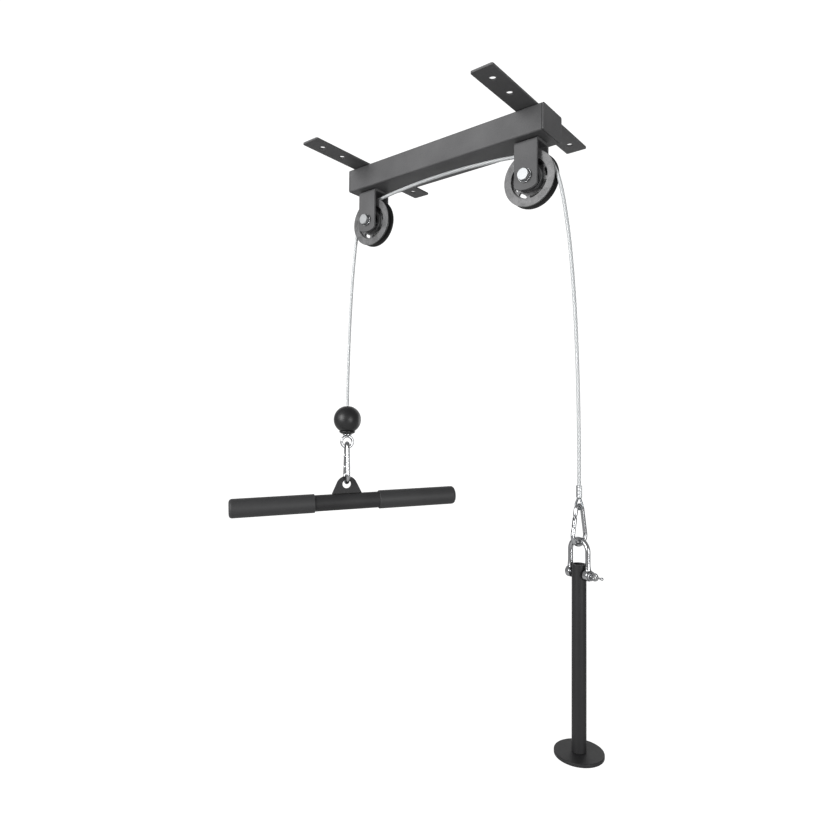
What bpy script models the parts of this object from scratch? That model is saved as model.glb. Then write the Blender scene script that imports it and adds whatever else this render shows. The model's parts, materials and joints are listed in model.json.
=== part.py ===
# Ceiling-mounted pulley system: a steel beam on two ceiling straps, two cable pulleys under it,
# a bar handle on one end of the cable and a loading pin for weight plates on the other.
# Frame: metres, +Z up, X along the beam, origin in the ceiling plane over the middle of the beam.

import bpy
import bmesh
from math import acos, asin, atan2, cos, hypot, pi, radians, sin, sqrt
from mathutils import Matrix, Vector

# Clearances
SEAT_GAP = 0.0003
LINK_GAP = 0.0006
PIN_GAP = 0.0003

# Beam and its end plates
BEAM_LENGTH = 0.390
BEAM_WIDTH = 0.060
BEAM_HEIGHT = 0.040
BEAM_WALL = 0.002
BEAM_CORNER = 0.003
END_PLATE = 0.003

# Ceiling straps
STRAP_LENGTH = 0.300
STRAP_WIDTH = 0.035
STRAP_THICKNESS = 0.003
STRAP_CORNER = 0.003
STRAP_END_INSET = 0.0115
SCREW_HOLE = 0.010
SCREW_HOLE_OUTER = 0.121
SCREW_HOLE_INNER = 0.076

# Pulley brackets
BRACKET_END_INSET = 0.035
BRACKET_LENGTH = 0.038
BRACKET_WIDTH = 0.038
BRACKET_PLATE = 0.004
BRACKET_BEND = 0.0065
BRACKET_LEG_BELOW_AXLE = 0.0205
BRACKET_LEG_ARC = 0.0035
BRACKET_LEG_CHAMFER = 0.003
AXLE_BELOW_BEAM = 0.0557

# Pulley wheels and bearings
WHEEL_RADIUS = 0.042
WHEEL_WIDTH = 0.016
WHEEL_EDGE = 0.0008
WHEEL_LIP = 0.0024
WHEEL_RIM_INNER = 0.030
WHEEL_WEB = 0.005
WHEEL_HUB_RADIUS = 0.0205
WHEEL_HUB_WIDTH = 0.0125
SLOT_COUNT = 8
SLOT_INNER = 0.0232
SLOT_OUTER = 0.0284
SLOT_ANGLE = radians(34)
SLOT_PHASE = radians(15)
BEARING_OUTER = 0.030
BEARING_WIDTH = 0.009
BEARING_RING = 0.0022
BEARING_SHIELD_INSET = 0.0005

# Axle fasteners
AXLE_DIAMETER = 0.010
BOLT_HEAD_FLATS = 0.017
BOLT_HEAD_HEIGHT = 0.0064
BOLT_TIP_PAST_NUT = 0.0025
NUT_HEIGHT = 0.010
NUT_COLLAR_HEIGHT = 0.003
WASHER_DIAMETER = 0.021
WASHER_THICKNESS = 0.002
SPACER_DIAMETER = 0.0145

# Cable
CABLE_DIAMETER = 0.0055
CABLE_STEP = 0.016
GROOVE_GAP = 0.00035
WRAP_STEP = radians(10)
HANDLE_DEPARTURE = radians(11)
WEIGHT_DEPARTURE = radians(20)
ARCH_LIFT_ANGLE = radians(7)
ARCH_RISE = 0.0118

# Handle end of the cable: stopper ball and eye
HANDLE_BOW = 0.023
BALL_CENTRE_Z = -0.4584
HANDLE_YAW = radians(55)
BALL_RADIUS = 0.0255
BALL_FLAT = 0.0015
BALL_SINK_RADIUS = 0.006
BALL_SINK_DEPTH = 0.008
BALL_WASHER_RADIUS = 0.015
BALL_WASHER_THICKNESS = 0.0028
BALL_WASHER_GAP = 0.0005
BALL_WASHER_LIP = 0.0006
BALL_WASHER_FOOT = 0.0093
BALL_WASHER_FLARE = 0.0022
EYE_SHANK = 0.010
EYE_SHANK_DEPTH = 0.022
EYE_SOCKET_DEPTH = 0.014
EYE_COLLAR_RADIUS = 0.0085
EYE_COLLAR_THICKNESS = 0.002
EYE_RADIUS = 0.0104
EYE_WIRE = 0.0052

# Weight end of the cable: crimp sleeve and loop
WEIGHT_BOW = 0.0374
WEIGHT_YAW = radians(-18)
SLEEVE_TOP_Z = -0.5495
SLEEVE_LENGTH = 0.017
SLEEVE_WIDE = 0.0092
SLEEVE_THICK = 0.0070
SLEEVE_EDGE = 0.0006
SLEEVE_BORE_DEPTH = 0.006
LOOP_WIRE = 0.0032
LOOP_LENGTH = 0.0175
LOOP_WIDTH = 0.0150
LOOP_SWELL = radians(200)

# Snap hooks: length, wire, outer widths of the narrow and the wide end
HANDLE_HOOK_LENGTH = 0.080
HANDLE_HOOK_WIRE = 0.008
HANDLE_HOOK_NARROW = 0.025
HANDLE_HOOK_WIDE = 0.038
WEIGHT_HOOK_LENGTH = 0.060
WEIGHT_HOOK_WIRE = 0.006
WEIGHT_HOOK_NARROW = 0.019
WEIGHT_HOOK_WIDE = 0.031
HOOK_TONGUE = 0.36
HOOK_GATE_TOP = 0.27
HOOK_GATE_BOTTOM = 0.27
HOOK_RIVET = 0.36
HOOK_KNUCKLE = 0.75
HOOK_NOSE = 1.1
GATE_KNUCKLE_GAP = 0.0004
GATE_NOSE_GAP = 0.0009

# Bar handle
BAR_LENGTH = 0.414
BAR_DIAMETER = 0.030
BAR_WALL = 0.002
BAR_REST_TILT = radians(2)
LUG_HOLE = 0.016
LUG_TOP_RADIUS = 0.020
LUG_TOP_BELOW_HOLE = 0.005
LUG_BASE = 0.056
LUG_HEIGHT = 0.0325
LUG_THICKNESS = 0.005
GRIP_LENGTH = 0.151
GRIP_DIAMETER = 0.0345
GRIP_END_WALL = 0.004
GRIP_END_RADIUS = 0.006
GRIP_EDGE = 0.0008

# Shackle
SHACKLE_WIRE = 0.007
SHACKLE_GAP = 0.0234
SHACKLE_HEIGHT = 0.0465
EAR_THICKNESS = 0.0076
EAR_RADIUS = 0.0078
SHACKLE_PIN = 0.008
PIN_TIP_PAST_EAR = 0.0012
PIN_EDGE = 0.0008
PIN_COLLAR_RADIUS = 0.0066
PIN_COLLAR_THICKNESS = 0.0028
PIN_TAB_RADIUS = 0.0055
PIN_TAB_THICKNESS = 0.0034
PIN_TAB_HOLE = 0.0042
PIN_TAIL_LENGTH = 0.008
PIN_TAIL_DIAMETER = 0.0024
PIN_TAIL_KNOB = 0.0042

# Loading pin
PIN_TUBE_DIAMETER = 0.020
PIN_TUBE_WALL = 0.003
PIN_TUBE_LENGTH = 0.255
PIN_HOLE_BELOW_TOP = 0.0127
DISC_DIAMETER = 0.068
DISC_THICKNESS = 0.005
DISC_EDGE = 0.001

# Facet counts
WHEEL_SIDES = 30
BALL_SIDES = 24
ROUND = 20
SMALL = 12
WIRE_SIDES = 8
LINK_STEPS = 16

# Places that follow from the sizes
BEAM_TOP_Z = -STRAP_THICKNESS - SEAT_GAP
BEAM_BOTTOM_Z = BEAM_TOP_Z - BEAM_HEIGHT
BRACKET_TOP_Z = BEAM_BOTTOM_Z - SEAT_GAP
AXLE_Z = BEAM_BOTTOM_Z - AXLE_BELOW_BEAM
STRAP_X = BEAM_LENGTH / 2 - STRAP_END_INSET - STRAP_WIDTH / 2
BRACKET_X = BEAM_LENGTH / 2 - BRACKET_END_INSET
CABLE_RADIUS = CABLE_DIAMETER / 2
GROOVE_BOTTOM = WHEEL_RADIUS - WHEEL_LIP - CABLE_DIAMETER * 0.85
PITCH_RADIUS = GROOVE_BOTTOM + GROOVE_GAP + CABLE_RADIUS
HANDLE_X = -BRACKET_X - PITCH_RADIUS - HANDLE_BOW
WEIGHT_X = BRACKET_X + PITCH_RADIUS + WEIGHT_BOW


# Clearing the scene and making objects

def clear_scene():
    for thing in list(bpy.data.objects):
        bpy.data.objects.remove(thing, do_unlink=True)


def finish_material(name, grey, metallic, roughness):
    material = bpy.data.materials.new(name)
    material.use_nodes = True
    shader = material.node_tree.nodes["Principled BSDF"]
    shader.inputs["Base Color"].default_value = (grey, grey, grey, 1.0)
    shader.inputs["Metallic"].default_value = metallic
    shader.inputs["Roughness"].default_value = roughness
    material.diffuse_color = (grey, grey, grey, 1.0)
    return material


FINISHES = {
    "powder_coat": (0.055, 0.0, 0.45),
    "bright_zinc": (0.62, 1.0, 0.25),
    "bearing_steel": (0.50, 1.0, 0.20),
    "black_nylon": (0.10, 0.0, 0.40),
    "rubber": (0.030, 0.0, 0.60),
    "pvc_cable": (0.70, 0.0, 0.35),
}


def empty(name, location, yaw=0.0, parent=None):
    frame = bpy.data.objects.new(name, None)
    frame.empty_display_size = 0.02
    frame.location = location
    frame.rotation_euler = (0.0, 0.0, yaw)
    frame.parent = parent
    bpy.context.scene.collection.objects.link(frame)
    return frame


def add_object(name, bm, finish, parent, location=(0, 0, 0), rotation=(0, 0, 0), smooth=True):
    bmesh.ops.recalc_face_normals(bm, faces=bm.faces)
    mesh = bpy.data.meshes.new(name)
    bm.to_mesh(mesh)
    bm.free()
    thing = bpy.data.objects.new(name, mesh)
    thing.location = location
    thing.rotation_euler = rotation
    thing.parent = parent
    bpy.context.scene.collection.objects.link(thing)
    if finish:
        mesh.materials.append(finish_material(name + "_finish", *FINISHES[finish]))
    if smooth:
        mesh.shade_smooth()
        mesh.set_sharp_from_angle(angle=radians(35))
    return thing


def cut(target, cutter, operation="DIFFERENCE"):
    cutter.hide_render = True
    cutter.display_type = "WIRE"
    modifier = target.modifiers.new(cutter.name, "BOOLEAN")
    modifier.operation = operation
    modifier.solver = "EXACT"
    modifier.object = cutter


# Shapes: outlines, prisms, turned pieces and wires

def arc(centre, radius, start, end, count):
    steps = [start + (end - start) * i / count for i in range(count + 1)]
    return [(centre[0] + radius * cos(a), centre[1] + radius * sin(a)) for a in steps]


def rounded_rectangle(width, height, radius, count=3):
    w, h = width / 2 - radius, height / 2 - radius
    corners = [((w, h), 0), ((-w, h), pi / 2), ((-w, -h), pi), ((w, -h), 1.5 * pi)]
    return [p for centre, a in corners for p in arc(centre, radius, a, a + pi / 2, count)]


def to_axes(point, depth, axis):
    # An outline point and a depth become x, y, z, with the depth along the named axis.
    u, v = point
    return {"X": (depth, u, v), "Y": (u, depth, v), "Z": (u, v, depth)}[axis]


def prism(outline, low, high, axis, bm=None):
    bm = bm or bmesh.new()
    ends = [[bm.verts.new(to_axes(p, d, axis)) for p in outline] for d in (low, high)]
    for loop in ends:
        bm.faces.new(loop)
    bridge(bm, ends[0], ends[1])
    return bm


def bridge(bm, ring_a, ring_b):
    count = len(ring_a)
    for i in range(count):
        j = (i + 1) % count
        bm.faces.new((ring_a[i], ring_a[j], ring_b[j], ring_b[i]))


def hollow_prism(outer, inner, low, high, axis):
    bm = bmesh.new()
    loops = [(o, d) for o in (outer, inner) for d in (low, high)]
    rings = [[bm.verts.new(to_axes(p, d, axis)) for p in o] for o, d in loops]
    bridge(bm, rings[0], rings[1])
    bridge(bm, rings[2], rings[3])
    bridge(bm, rings[0], rings[2])
    bridge(bm, rings[1], rings[3])
    return bm


def turned(profile, count, axis="Z", bm=None):
    # Turns a closed profile of (radius, depth) about the axis; radius 0 closes onto the axis.
    bm = bm or bmesh.new()
    rings = []
    for radius, depth in profile:
        if radius < 1e-9:
            rings.append([bm.verts.new(to_axes((0, 0), depth, axis))])
            continue
        angles = [2 * pi * i / count for i in range(count)]
        points = [to_axes((radius * cos(a), radius * sin(a)), depth, axis) for a in angles]
        rings.append([bm.verts.new(p) for p in points])
    for k in range(len(rings)):
        a, b = rings[k], rings[(k + 1) % len(rings)]
        if len(a) == 1 and len(b) == 1:
            continue
        if len(a) > 1 and len(b) > 1:
            bridge(bm, a, b)
            continue
        hub, ring = (a[0], b) if len(a) == 1 else (b[0], a)
        for i in range(len(ring)):
            bm.faces.new((hub, ring[i], ring[(i + 1) % len(ring)]))
    return bm


def tube_ring(inner, outer, low, high, chamfer=0.0):
    if not chamfer:
        return [(inner, low), (outer, low), (outer, high), (inner, high)]
    c = chamfer
    return [(inner, low), (outer - c, low), (outer, low + c), (outer, high - c), (outer - c, high),
            (inner, high)]


def wire(points, radii, sides, closed=False, squash=1.0, bm=None):
    # A round wire along points; radii is one number or one for each point.
    bm = bm or bmesh.new()
    points = [Vector(p) for p in points]
    count = len(points)
    radii = radii if isinstance(radii, list) else [radii] * count
    tangents = []
    for i in range(count):
        before = points[i - 1] if closed or i else points[i]
        after = points[(i + 1) % count] if closed or i < count - 1 else points[i]
        tangents.append((after - before).normalized())
    side = tangents[0].orthogonal().normalized()
    rings = []
    for point, tangent, radius in zip(points, tangents, radii):
        side = (side - tangent * side.dot(tangent)).normalized()
        up = tangent.cross(side)
        angles = [2 * pi * k / sides for k in range(sides)]
        rings.append([bm.verts.new(point + side * radius * cos(a) + up * radius * squash * sin(a))
                      for a in angles])
    for a, b in zip(rings, rings[1:]):
        bridge(bm, a, b)
    if closed:
        bridge(bm, rings[-1], rings[0])
    else:
        bm.faces.new(rings[0])
        bm.faces.new(rings[-1])
    return bm


def hexagon(flats):
    return [(flats / sqrt(3) * cos(k * pi / 3), flats / sqrt(3) * sin(k * pi / 3)) for k in range(6)]


def smooth_route(points, step):
    # Catmull-Rom curve through the points, read every step or so.
    points = [Vector(p) for p in points]
    first, last = 2 * points[0] - points[1], 2 * points[-1] - points[-2]
    knots = [first] + points + [last]
    route = [points[0]]
    for i in range(1, len(knots) - 2):
        p0, p1, p2, p3 = knots[i - 1:i + 3]
        count = max(1, round((p2 - p1).length / step))
        for k in range(1, count + 1):
            t = k / count
            route.append(0.5 * (2 * p1 + (p2 - p0) * t + (2 * p0 - 5 * p1 + 4 * p2 - p3) * t ** 2
                                + (3 * p1 - p0 - 3 * p2 + p3) * t ** 3))
    return route


def cable_curve(name, points, parent=None):
    curve = bpy.data.curves.new(name, "CURVE")
    curve.dimensions = "3D"
    curve.bevel_depth = CABLE_RADIUS
    curve.bevel_resolution = 2
    curve.use_fill_caps = True
    spline = curve.splines.new("POLY")
    spline.points.add(len(points) - 1)
    for knot, point in zip(spline.points, points):
        knot.co = (*point, 1.0)
    curve.materials.append(finish_material(name + "_finish", *FINISHES["pvc_cable"]))
    thing = bpy.data.objects.new(name, curve)
    thing.parent = parent
    bpy.context.scene.collection.objects.link(thing)
    return thing


# Ceiling frame: beam, end plates and straps

def make_beam(root):
    outer = rounded_rectangle(BEAM_WIDTH, BEAM_HEIGHT, BEAM_CORNER)
    inner = rounded_rectangle(BEAM_WIDTH - 2 * BEAM_WALL, BEAM_HEIGHT - 2 * BEAM_WALL,
                              BEAM_CORNER - BEAM_WALL)
    centre = (0, 0, (BEAM_TOP_Z + BEAM_BOTTOM_Z) / 2)
    half = BEAM_LENGTH / 2 - END_PLATE - SEAT_GAP
    bm = hollow_prism(outer, inner, -half, half, "X")
    add_object("beam_tube", bm, "powder_coat", root, centre)
    for side, sign in (("left", -1), ("right", 1)):
        bm = prism(outer, -END_PLATE / 2, END_PLATE / 2, "X")
        place = (sign * (BEAM_LENGTH - END_PLATE) / 2, 0, centre[2])
        add_object(side + "_end_plate", bm, "powder_coat", root, place)


def make_strap(side, sign, root):
    outline = rounded_rectangle(STRAP_WIDTH, STRAP_LENGTH, STRAP_CORNER)
    bm = prism(outline, -STRAP_THICKNESS, 0, "Z")
    strap = add_object(side + "_ceiling_strap", bm, "powder_coat", root, (sign * STRAP_X, 0, 0))
    holes = bmesh.new()
    for place in (SCREW_HOLE_OUTER, SCREW_HOLE_INNER, -SCREW_HOLE_INNER, -SCREW_HOLE_OUTER):
        circle = arc((0, place), SCREW_HOLE / 2, 0, 2 * pi * (SMALL - 1) / SMALL, SMALL - 1)
        prism(circle, -2 * STRAP_THICKNESS, STRAP_THICKNESS, "Z", holes)
    cut(strap, add_object(side + "_screw_hole_cutter", holes, None, root, strap.location))


# Pulley bracket: a folded U with an arc along the foot of each leg

def make_bracket(side, frame):
    top = BRACKET_TOP_Z - AXLE_Z
    foot = -BRACKET_LEG_BELOW_AXLE
    outer, plate, bend = BRACKET_WIDTH / 2, BRACKET_PLATE, BRACKET_BEND
    centre = outer - bend
    outside = arc((centre, top - bend), bend, 0, pi / 2, 4)
    inside = arc((centre, top - bend), bend - plate, 0, pi / 2, 4)
    left_out = [(-y, z) for y, z in reversed(outside)]
    left_in = [(-y, z) for y, z in reversed(inside)]
    outline = [(outer, foot)] + outside + left_out + [(-outer, foot), (plate - outer, foot)]
    outline += list(reversed(left_in)) + list(reversed(inside)) + [(outer - plate, foot)]
    half = BRACKET_LENGTH / 2
    bracket = add_object(side + "_pulley_bracket", prism(outline, -half, half, "X"),
                         "powder_coat", frame)
    rise, chamfer = BRACKET_LEG_ARC, BRACKET_LEG_CHAMFER
    reach = half - chamfer
    radius = (reach ** 2 + rise ** 2) / (2 * rise)
    spread = asin(reach / radius)
    curve = arc((0, foot + radius), radius, -pi / 2 - spread, -pi / 2 + spread, 8)
    over = 2 * half
    keep = curve + [(over, foot + rise + chamfer + half), (over, top + half), (-over, top + half),
                    (-over, foot + rise + chamfer + half)]
    trim = prism(keep, -over, over, "Y")
    cut(bracket, add_object(side + "_bracket_foot_cutter", trim, None, frame), "INTERSECT")
    hole = turned([(0, -over), (AXLE_DIAMETER / 2 + PIN_GAP, -over),
                   (AXLE_DIAMETER / 2 + PIN_GAP, over), (0, over)], SMALL, "Y")
    cut(bracket, add_object(side + "_axle_hole_cutter", hole, None, frame))


# Pulley wheel: lipped rim with a round groove, thin web with slots, hub round the bearing

def groove_profile():
    # From the front lip down into the groove and up to the rear lip.
    lip = WHEEL_WIDTH / 2 - WHEEL_LIP
    bottom = CABLE_RADIUS + GROOVE_GAP
    edge = WHEEL_WIDTH / 2 - WHEEL_EDGE
    front = [(WHEEL_RADIUS - WHEEL_EDGE, -WHEEL_WIDTH / 2), (WHEEL_RADIUS, -edge), (WHEEL_RADIUS, -lip)]
    slope = arc((GROOVE_BOTTOM + bottom, 0), bottom, pi + radians(65), pi - radians(65), 4)
    return front + slope + [(r, -y) for r, y in reversed(front)]


def make_wheel(side, frame):
    bore = BEARING_OUTER / 2 + SEAT_GAP / 2
    web, hub, rim = WHEEL_WEB / 2, WHEEL_HUB_WIDTH / 2, WHEEL_WIDTH / 2
    draft = 0.0008
    front = [(bore, -hub), (WHEEL_HUB_RADIUS - draft, -hub), (WHEEL_HUB_RADIUS, -web),
             (WHEEL_RIM_INNER - draft, -web), (WHEEL_RIM_INNER, -rim)]
    back = [(r, -y) for r, y in reversed(front)]
    wheel = add_object(side + "_pulley_wheel", turned(front + groove_profile() + back, WHEEL_SIDES, "Y"),
                       "black_nylon", frame)
    slots = bmesh.new()
    for k in range(SLOT_COUNT):
        middle = SLOT_PHASE + 2 * pi * k / SLOT_COUNT
        half = SLOT_ANGLE / 2
        mean = (SLOT_INNER + SLOT_OUTER) / 2
        cap = (SLOT_OUTER - SLOT_INNER) / 2
        turn = cap / mean
        outline = arc((0, 0), SLOT_OUTER, middle - half + turn, middle + half - turn, 2)
        end = (mean * cos(middle + half - turn), mean * sin(middle + half - turn))
        outline += arc(end, cap, middle + half - turn, middle + half - turn + pi, 3)[1:-1]
        outline += arc((0, 0), SLOT_INNER, middle + half - turn, middle - half + turn, 2)
        end = (mean * cos(middle - half + turn), mean * sin(middle - half + turn))
        outline += arc(end, cap, middle - half + turn + pi, middle - half + turn + 2 * pi, 3)[1:-1]
        prism(outline, -rim, rim, "Y", slots)
    cut(wheel, add_object(side + "_slot_cutter", slots, None, frame))


def make_bearing(side, frame, wheel_frame):
    # A shielded ball bearing: the shields stand a little inside the outer ring's faces.
    outer, half = BEARING_OUTER / 2 - SEAT_GAP / 2, BEARING_WIDTH / 2
    bore = AXLE_DIAMETER / 2 + PIN_GAP
    inner_race = bore + BEARING_RING
    shield, shield_half = inner_race + PIN_GAP, half - BEARING_SHIELD_INSET
    land = outer - BEARING_RING
    profile = [(shield, -shield_half), (land, -shield_half), (land, -half), (outer, -half),
               (outer, half), (land, half), (land, shield_half), (shield, shield_half)]
    add_object(side + "_bearing_outer_ring", turned(profile, ROUND, "Y"), "bearing_steel", wheel_frame)
    add_object(side + "_bearing_inner_ring", turned(tube_ring(bore, inner_race, -half, half), ROUND, "Y"),
               "bearing_steel", frame)


# Axle bolt with its washers, spacers and lock nut

def make_axle(side, frame):
    half = BRACKET_WIDTH / 2
    washer_in = half + SEAT_GAP
    washer_out = washer_in + WASHER_THICKNESS
    head_low = washer_out + SEAT_GAP
    radius = AXLE_DIAMETER / 2
    hole = radius + PIN_GAP
    nut_high = head_low + NUT_HEIGHT
    tip = nut_high + BOLT_TIP_PAST_NUT
    corner = BOLT_HEAD_FLATS / sqrt(3)
    bolt = add_object(side + "_axle_bolt",
                      prism(hexagon(BOLT_HEAD_FLATS), -head_low - BOLT_HEAD_HEIGHT, -head_low, "Y"),
                      "bright_zinc", frame)
    dome = turned([(0, -head_low - BOLT_HEAD_HEIGHT), (BOLT_HEAD_FLATS * 0.47, -head_low - BOLT_HEAD_HEIGHT),
                   (corner * 1.02, -head_low - BOLT_HEAD_HEIGHT * 0.72), (corner * 1.02, -head_low),
                   (0, -head_low)], ROUND, "Y")
    cut(bolt, add_object(side + "_bolt_head_cutter", dome, None, frame), "INTERSECT")
    shank = turned([(0, -head_low - BOLT_HEAD_HEIGHT / 2), (radius, -head_low - BOLT_HEAD_HEIGHT / 2),
                    (radius, tip - 0.001), (radius - 0.001, tip), (0, tip)], SMALL, "Y")
    cut(bolt, add_object(side + "_bolt_shank_cutter", shank, None, frame), "UNION")
    ring = tube_ring(hole, WASHER_DIAMETER / 2, 0, WASHER_THICKNESS)
    add_object(side + "_head_washer", turned(ring, ROUND, "Y"), "bright_zinc", frame, (0, -washer_out, 0))
    add_object(side + "_nut_washer", turned(ring, ROUND, "Y"), "bright_zinc", frame, (0, washer_in, 0))
    make_nut(side, frame, head_low, hole)
    inner = half - BRACKET_PLATE - SEAT_GAP
    reach = BEARING_WIDTH / 2 + SEAT_GAP
    for name, sign in (("front", -1), ("rear", 1)):
        low, high = sorted((sign * inner, sign * reach))
        sleeve = turned(tube_ring(hole, SPACER_DIAMETER / 2, low, high), SMALL, "Y")
        add_object(side + "_" + name + "_spacer", sleeve, "bright_zinc", frame)


def make_nut(side, frame, low, hole):
    high = low + NUT_HEIGHT
    collar = high - NUT_COLLAR_HEIGHT
    across = BOLT_HEAD_FLATS / 2
    corner = BOLT_HEAD_FLATS / sqrt(3)
    nut = add_object(side + "_lock_nut", prism(hexagon(BOLT_HEAD_FLATS), low, high, "Y"),
                     "bright_zinc", frame)
    shape = turned([(0, low), (corner * 1.02, low), (corner * 1.02, collar - 0.001),
                    (across * 0.97, collar), (across * 0.9, high), (0, high)], ROUND, "Y")
    cut(nut, add_object(side + "_nut_shape_cutter", shape, None, frame), "INTERSECT")
    bore = turned([(0, low - 0.001), (hole, low - 0.001), (hole, high + 0.001), (0, high + 0.001)], SMALL, "Y")
    cut(nut, add_object(side + "_nut_bore_cutter", bore, None, frame))


# Cable: the handle drop, the span over both wheels and the weight drop

def on_wheel(sign, angle):
    return (sign * BRACKET_X + PITCH_RADIUS * cos(angle), 0, AXLE_Z + PITCH_RADIUS * sin(angle))


def span_route():
    left = [pi - HANDLE_DEPARTURE - WRAP_STEP * k for k in range(100)]
    left = [a for a in left if a > pi / 2 + ARCH_LIFT_ANGLE + WRAP_STEP / 2] + [pi / 2 + ARCH_LIFT_ANGLE]
    right = [WEIGHT_DEPARTURE + WRAP_STEP * k for k in range(100)]
    right = [a for a in right if a < pi / 2 - ARCH_LIFT_ANGLE - WRAP_STEP / 2] + [pi / 2 - ARCH_LIFT_ANGLE]
    start, end = on_wheel(-1, left[-1]), on_wheel(1, right[-1])
    arch = []
    for share in (0.08, 0.22, 0.40, 0.60, 0.78, 0.92):
        x = start[0] + (end[0] - start[0]) * share
        arch.append((x, 0, start[2] + ARCH_RISE * (1 - (2 * share - 1) ** 2)))
    return [on_wheel(-1, a) for a in left] + arch + [on_wheel(1, a) for a in reversed(right)]


def handle_drop_route():
    # Offsets from the straight drop, as the springy cable leaves the wheel and straightens.
    top = on_wheel(-1, pi - HANDLE_DEPARTURE)
    end_z = BALL_CENTRE_Z - BALL_RADIUS + BALL_FLAT + EYE_SHANK_DEPTH - EYE_SOCKET_DEPTH + SEAT_GAP
    bow = [(0.0182, 0.030), (0.0118, 0.080), (0.0066, 0.140), (0.0028, 0.210), (0.0006, 0.280), (0, 0.325)]
    points = [top] + [(HANDLE_X + dx, 0, top[2] - drop) for dx, drop in bow]
    return points + [(HANDLE_X, 0, end_z)]


def weight_drop_route():
    top = on_wheel(1, WEIGHT_DEPARTURE)
    end_z = SLEEVE_TOP_Z - SLEEVE_BORE_DEPTH + SEAT_GAP
    bow = [(0.0318, 0.018), (0.0256, 0.043), (0.0201, 0.075), (0.0141, 0.120), (0.0087, 0.180),
           (0.0044, 0.250), (0.0015, 0.330), (0.0002, 0.400), (0, 0.435)]
    points = [top] + [(WEIGHT_X - dx, 0, top[2] - drop) for dx, drop in bow]
    return points + [(WEIGHT_X, 0, end_z)]


def make_cable():
    cable_curve("cable_span", shortened(smooth_route(span_route(), CABLE_STEP), SEAT_GAP))
    cable_curve("cable_handle_drop", smooth_route(handle_drop_route(), CABLE_STEP))
    cable_curve("cable_weight_drop", smooth_route(weight_drop_route(), CABLE_STEP))


def shortened(points, amount):
    # Draws both ends back along the run, so the neighbouring stretch meets them with a gap.
    points = list(points)
    for end, inner in ((0, 1), (-1, -2)):
        points[end] = points[end] + (points[inner] - points[end]).normalized() * amount
    return points


# Stopper ball, its washer and the eye that ends the cable

def make_ball(frame):
    bore = CABLE_RADIUS + PIN_GAP
    shank = EYE_SHANK / 2 + PIN_GAP
    flat = BALL_RADIUS - BALL_FLAT
    shank_top = -flat + EYE_SHANK_DEPTH + SEAT_GAP
    start = -asin(flat / BALL_RADIUS)
    end = acos(BALL_SINK_RADIUS / BALL_RADIUS)
    outside = arc((0, 0), BALL_RADIUS, start, end, 10)
    sink_z = outside[-1][1] - BALL_SINK_DEPTH
    profile = [(shank, -flat)] + outside + [(bore, sink_z), (bore, shank_top), (shank, shank_top)]
    add_object("stopper_ball", turned(profile, BALL_SIDES), "rubber", frame)
    make_ball_washer(frame, shank, -flat - SEAT_GAP)


def make_ball_washer(frame, hole, seat):
    # A cup under the ball: its inner side follows the ball up to the lip.
    r, lip, low = BALL_WASHER_RADIUS, BALL_WASHER_LIP, seat - BALL_WASHER_THICKNESS
    inside = BALL_RADIUS + BALL_WASHER_GAP
    hollow = arc((0, 0), inside, -acos((r - lip) / inside), asin(seat / inside), 2)
    lip_z = hollow[0][1]
    flare = low + BALL_WASHER_FLARE
    cup = [(hole, low), (BALL_WASHER_FOOT, low), (r - 2 * lip, flare), (r, (flare + lip_z) / 2), (r, lip_z - lip)]
    add_object("stopper_washer", turned(cup + hollow + [(hole, seat)], ROUND), "rubber", frame)


def eye_levels():
    # Heights below the ball's centre: collar top, collar bottom, eye centre, lowest wire.
    top = -(BALL_RADIUS - BALL_FLAT) - BALL_WASHER_THICKNESS - 2 * SEAT_GAP
    low = top - EYE_COLLAR_THICKNESS
    centre = low - EYE_RADIUS - EYE_WIRE / 2 + 0.0008
    return top, low, centre, centre - EYE_RADIUS


def make_eye(frame):
    top, low, centre, _ = eye_levels()
    shank = EYE_SHANK / 2
    tip = -(BALL_RADIUS - BALL_FLAT) + EYE_SHANK_DEPTH
    socket = CABLE_RADIUS + PIN_GAP
    stem = [(0, low - 0.001), (EYE_COLLAR_RADIUS - 0.002, low - 0.001), (EYE_COLLAR_RADIUS, low),
            (EYE_COLLAR_RADIUS, top), (shank, top), (shank, tip), (socket, tip),
            (socket, tip - EYE_SOCKET_DEPTH), (0, tip - EYE_SOCKET_DEPTH)]
    eye = add_object("handle_eye", turned(stem, SMALL), "bright_zinc", frame)
    loop = [(EYE_RADIUS * cos(a), 0, centre + EYE_RADIUS * sin(a))
            for a in [2 * pi * k / LINK_STEPS for k in range(LINK_STEPS)]]
    cut(eye, add_object("eye_loop_cutter", wire(loop, EYE_WIRE / 2, WIRE_SIDES, closed=True), None, frame),
        "UNION")


# Crimp sleeve and the bare rope loop at the weight end

def loop_levels():
    # Depth below the sleeve's top of the loop's lowest wire centre.
    return SLEEVE_LENGTH + LOOP_LENGTH - LOOP_WIRE / 2


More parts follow.
